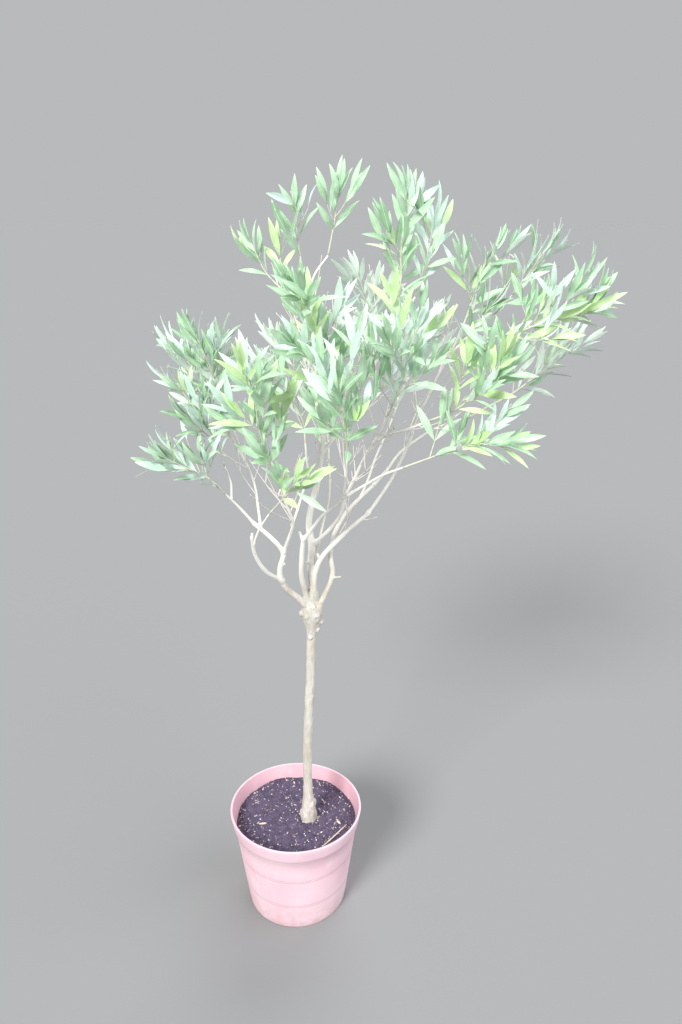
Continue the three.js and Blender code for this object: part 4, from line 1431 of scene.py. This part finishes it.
def is_inside(corners, space):
    return bool((corners.min(axis=0) > space[0]).all() and (corners.max(axis=0) < space[1]).all())


def leaf_materials():
    """The finish of each tint's upper side, then those of the lower side and the rib."""
    uppers = [leaf_finish(name, "leaf_upper", *tint) for name, tint in LEAF_TINTS.items()]
    return uppers + [leaf_finish(name, name, *tint) for name, tint in LEAF_LOWERS.items()]


def finish_numbers(tint):
    """The material numbers of a leaf's faces for a tint."""
    upper = list(LEAF_TINTS).index(tint)
    numbers = (upper, len(LEAF_TINTS), len(LEAF_TINTS) + 1)
    return [numbers[kind] for kind in LEAF_KINDS]


def mark_outlines(mesh):
    """Marks the leaves' outlines sharp, so that upper and lower side are shaded apart."""
    count = len(mesh.edges)
    ends = np.empty(count * 2, np.int32)
    mesh.edges.foreach_get("vertices", ends)
    first, second = (ends.reshape(-1, 2) % LEAF_SIDES).T
    outline = (first == second) & (first % (LEAF_SIDES // 2) == 0)
    sharp = mesh.attributes.new("sharp_edge", "BOOLEAN", "EDGE")
    sharp.data.foreach_set("value", outline)


def grow_mass(row, limbs, crown, twig_stock, leaf_stock):
    """Adds a mass's twigs and leaves to their stocks. A leaf that would leave the mass's space or come too
    near a limb is left out."""
    name = row[0]
    space = space_of(name)
    dice = dice_of(name + " leaves")
    for number, twig in enumerate(grow_twigs(row, limbs, space)):
        dealt = TINT_DEAL[int(dice() * len(TINT_DEAL))]
        tint = "leaf_young" if number < YOUNG_SHOOTS.get(name, 0) else dealt
        twig_stock.add(*twig.skin())
        for leaf in grow_leaves(twig, dice):
            corners = leaf_corners(leaf, dice)
            if is_inside(corners, space) and crown.is_clear(leaf):
                leaf_stock.add(corners, LEAF_FACES, finishes=finish_numbers(tint))


def make_dry_twigs(limbs):
    """Thin bare twigs, some with a fork, on the inner boughs."""
    stock = Stock()
    for bough, low, high, count in DRY_TWIGS:
        dice = dice_of(bough + " dry")
        turn = 360 * dice()
        for i in range(count):
            share = between(low, high, (i + dice()) / count)
            length = between(*DRY_TWIG_LENGTHS, dice())
            ends = side_twig(limbs[bough].points, share, turn + i * GOLDEN_ANGLE, length, dice)
            twigs = [curved(ends)]
            if dice() < DRY_TWIG_FORKED:
                fork = side_twig(twigs[0], DRY_FORK_AT, 360 * dice(), DRY_FORK_SIZE * length, dice)
                twigs.append(curved(fork))
            for points in twigs:
                radii = np.linspace(*DRY_TWIG_RADII, len(points))
                stock.add(*tube(points, radii, TWIG_TUBE_SIDES))
    new_piece("dry_twigs", stock.mesh(), [plain_finish("dry_twig")])


# A mass's leaves go into the first of these pieces whose word is in the mass's name
LEAF_PIECES = {"leaves_left": "left", "leaves_right": "right", "leaves_back": "back", "leaves_middle": ""}


def make_foliage(limbs):
    crown = Crown(limbs)
    materials = leaf_materials()
    twigs = Stock()
    left_over = list(MASSES)
    for piece_name, word in LEAF_PIECES.items():
        rows = [row for row in left_over if word in row[0]]
        left_over = [row for row in left_over if row not in rows]
        leaves = Stock()
        for row in rows:
            grow_mass(row, limbs, crown, twigs, leaves)
        mesh = leaves.mesh()
        mark_outlines(mesh)
        new_piece(piece_name, mesh, materials, [row[0] for row in rows])
    new_piece("twigs", twigs.mesh(), [plain_finish("twig")], [row[0] for row in MASSES])


# Floor, light and camera


def make_floor():
    """A plain disc as bright as the sky behind it, so that no horizon shows."""
    edge = upright_rings((FLOOR_RADIUS,), (0,), FLOOR_SIDES)[0].tolist()
    mesh = bpy.data.meshes.new("floor")
    mesh.from_pydata(edge, [], [range(FLOOR_SIDES)])
    material, tree, _ = new_finish("floor")
    values = {"Base Color": colour(FLOOR_COLOUR), "Roughness": 1, "Specular IOR Level": 0}
    feed(tree, tree.nodes["Principled BSDF"], values)
    mesh.materials.append(material)
    placed("floor", mesh)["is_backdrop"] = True


def sun_light(name, way, strength, spread, tint):
    """Even soft light that comes from a way, spread over an angle in degrees."""
    light = bpy.data.lights.new(name, "SUN")
    light.energy = strength
    light.angle = math.radians(spread)
    light.color = tint
    placed(name, light).rotation_euler = Vector(way).to_track_quat("Z", "Y").to_euler()


def make_light():
    for lamp in LAMPS:
        sun_light(*lamp)
    world = bpy.data.worlds.new("sky")
    world.use_nodes = True
    backdrop = world.node_tree.nodes["Background"]
    backdrop.inputs["Color"].default_value = colour(SKY_COLOUR)
    backdrop.inputs["Strength"].default_value = SKY_STRENGTH
    bpy.context.scene.world = world
    bpy.context.scene.view_settings.view_transform = "Standard"


def make_camera():
    camera = bpy.data.cameras.new("camera")
    camera.sensor_fit = "VERTICAL"
    camera.sensor_height = CAMERA_FILM
    camera.lens = CAMERA_LENS
    holder = placed("camera", camera)
    holder.location = CAMERA_PLACE
    holder.rotation_euler = (math.radians(CAMERA_TILT), 0, 0)
    bpy.context.scene.camera = holder


make_camera()
make_light()
make_floor()
make_pot()
make_compost()
LIMBS = grow_limbs()
make_limbs(LIMBS)
make_foliage(LIMBS)
make_dry_twigs(LIMBS)

[[list(corner) for corner in box] for box in (CAD_BOX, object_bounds())]
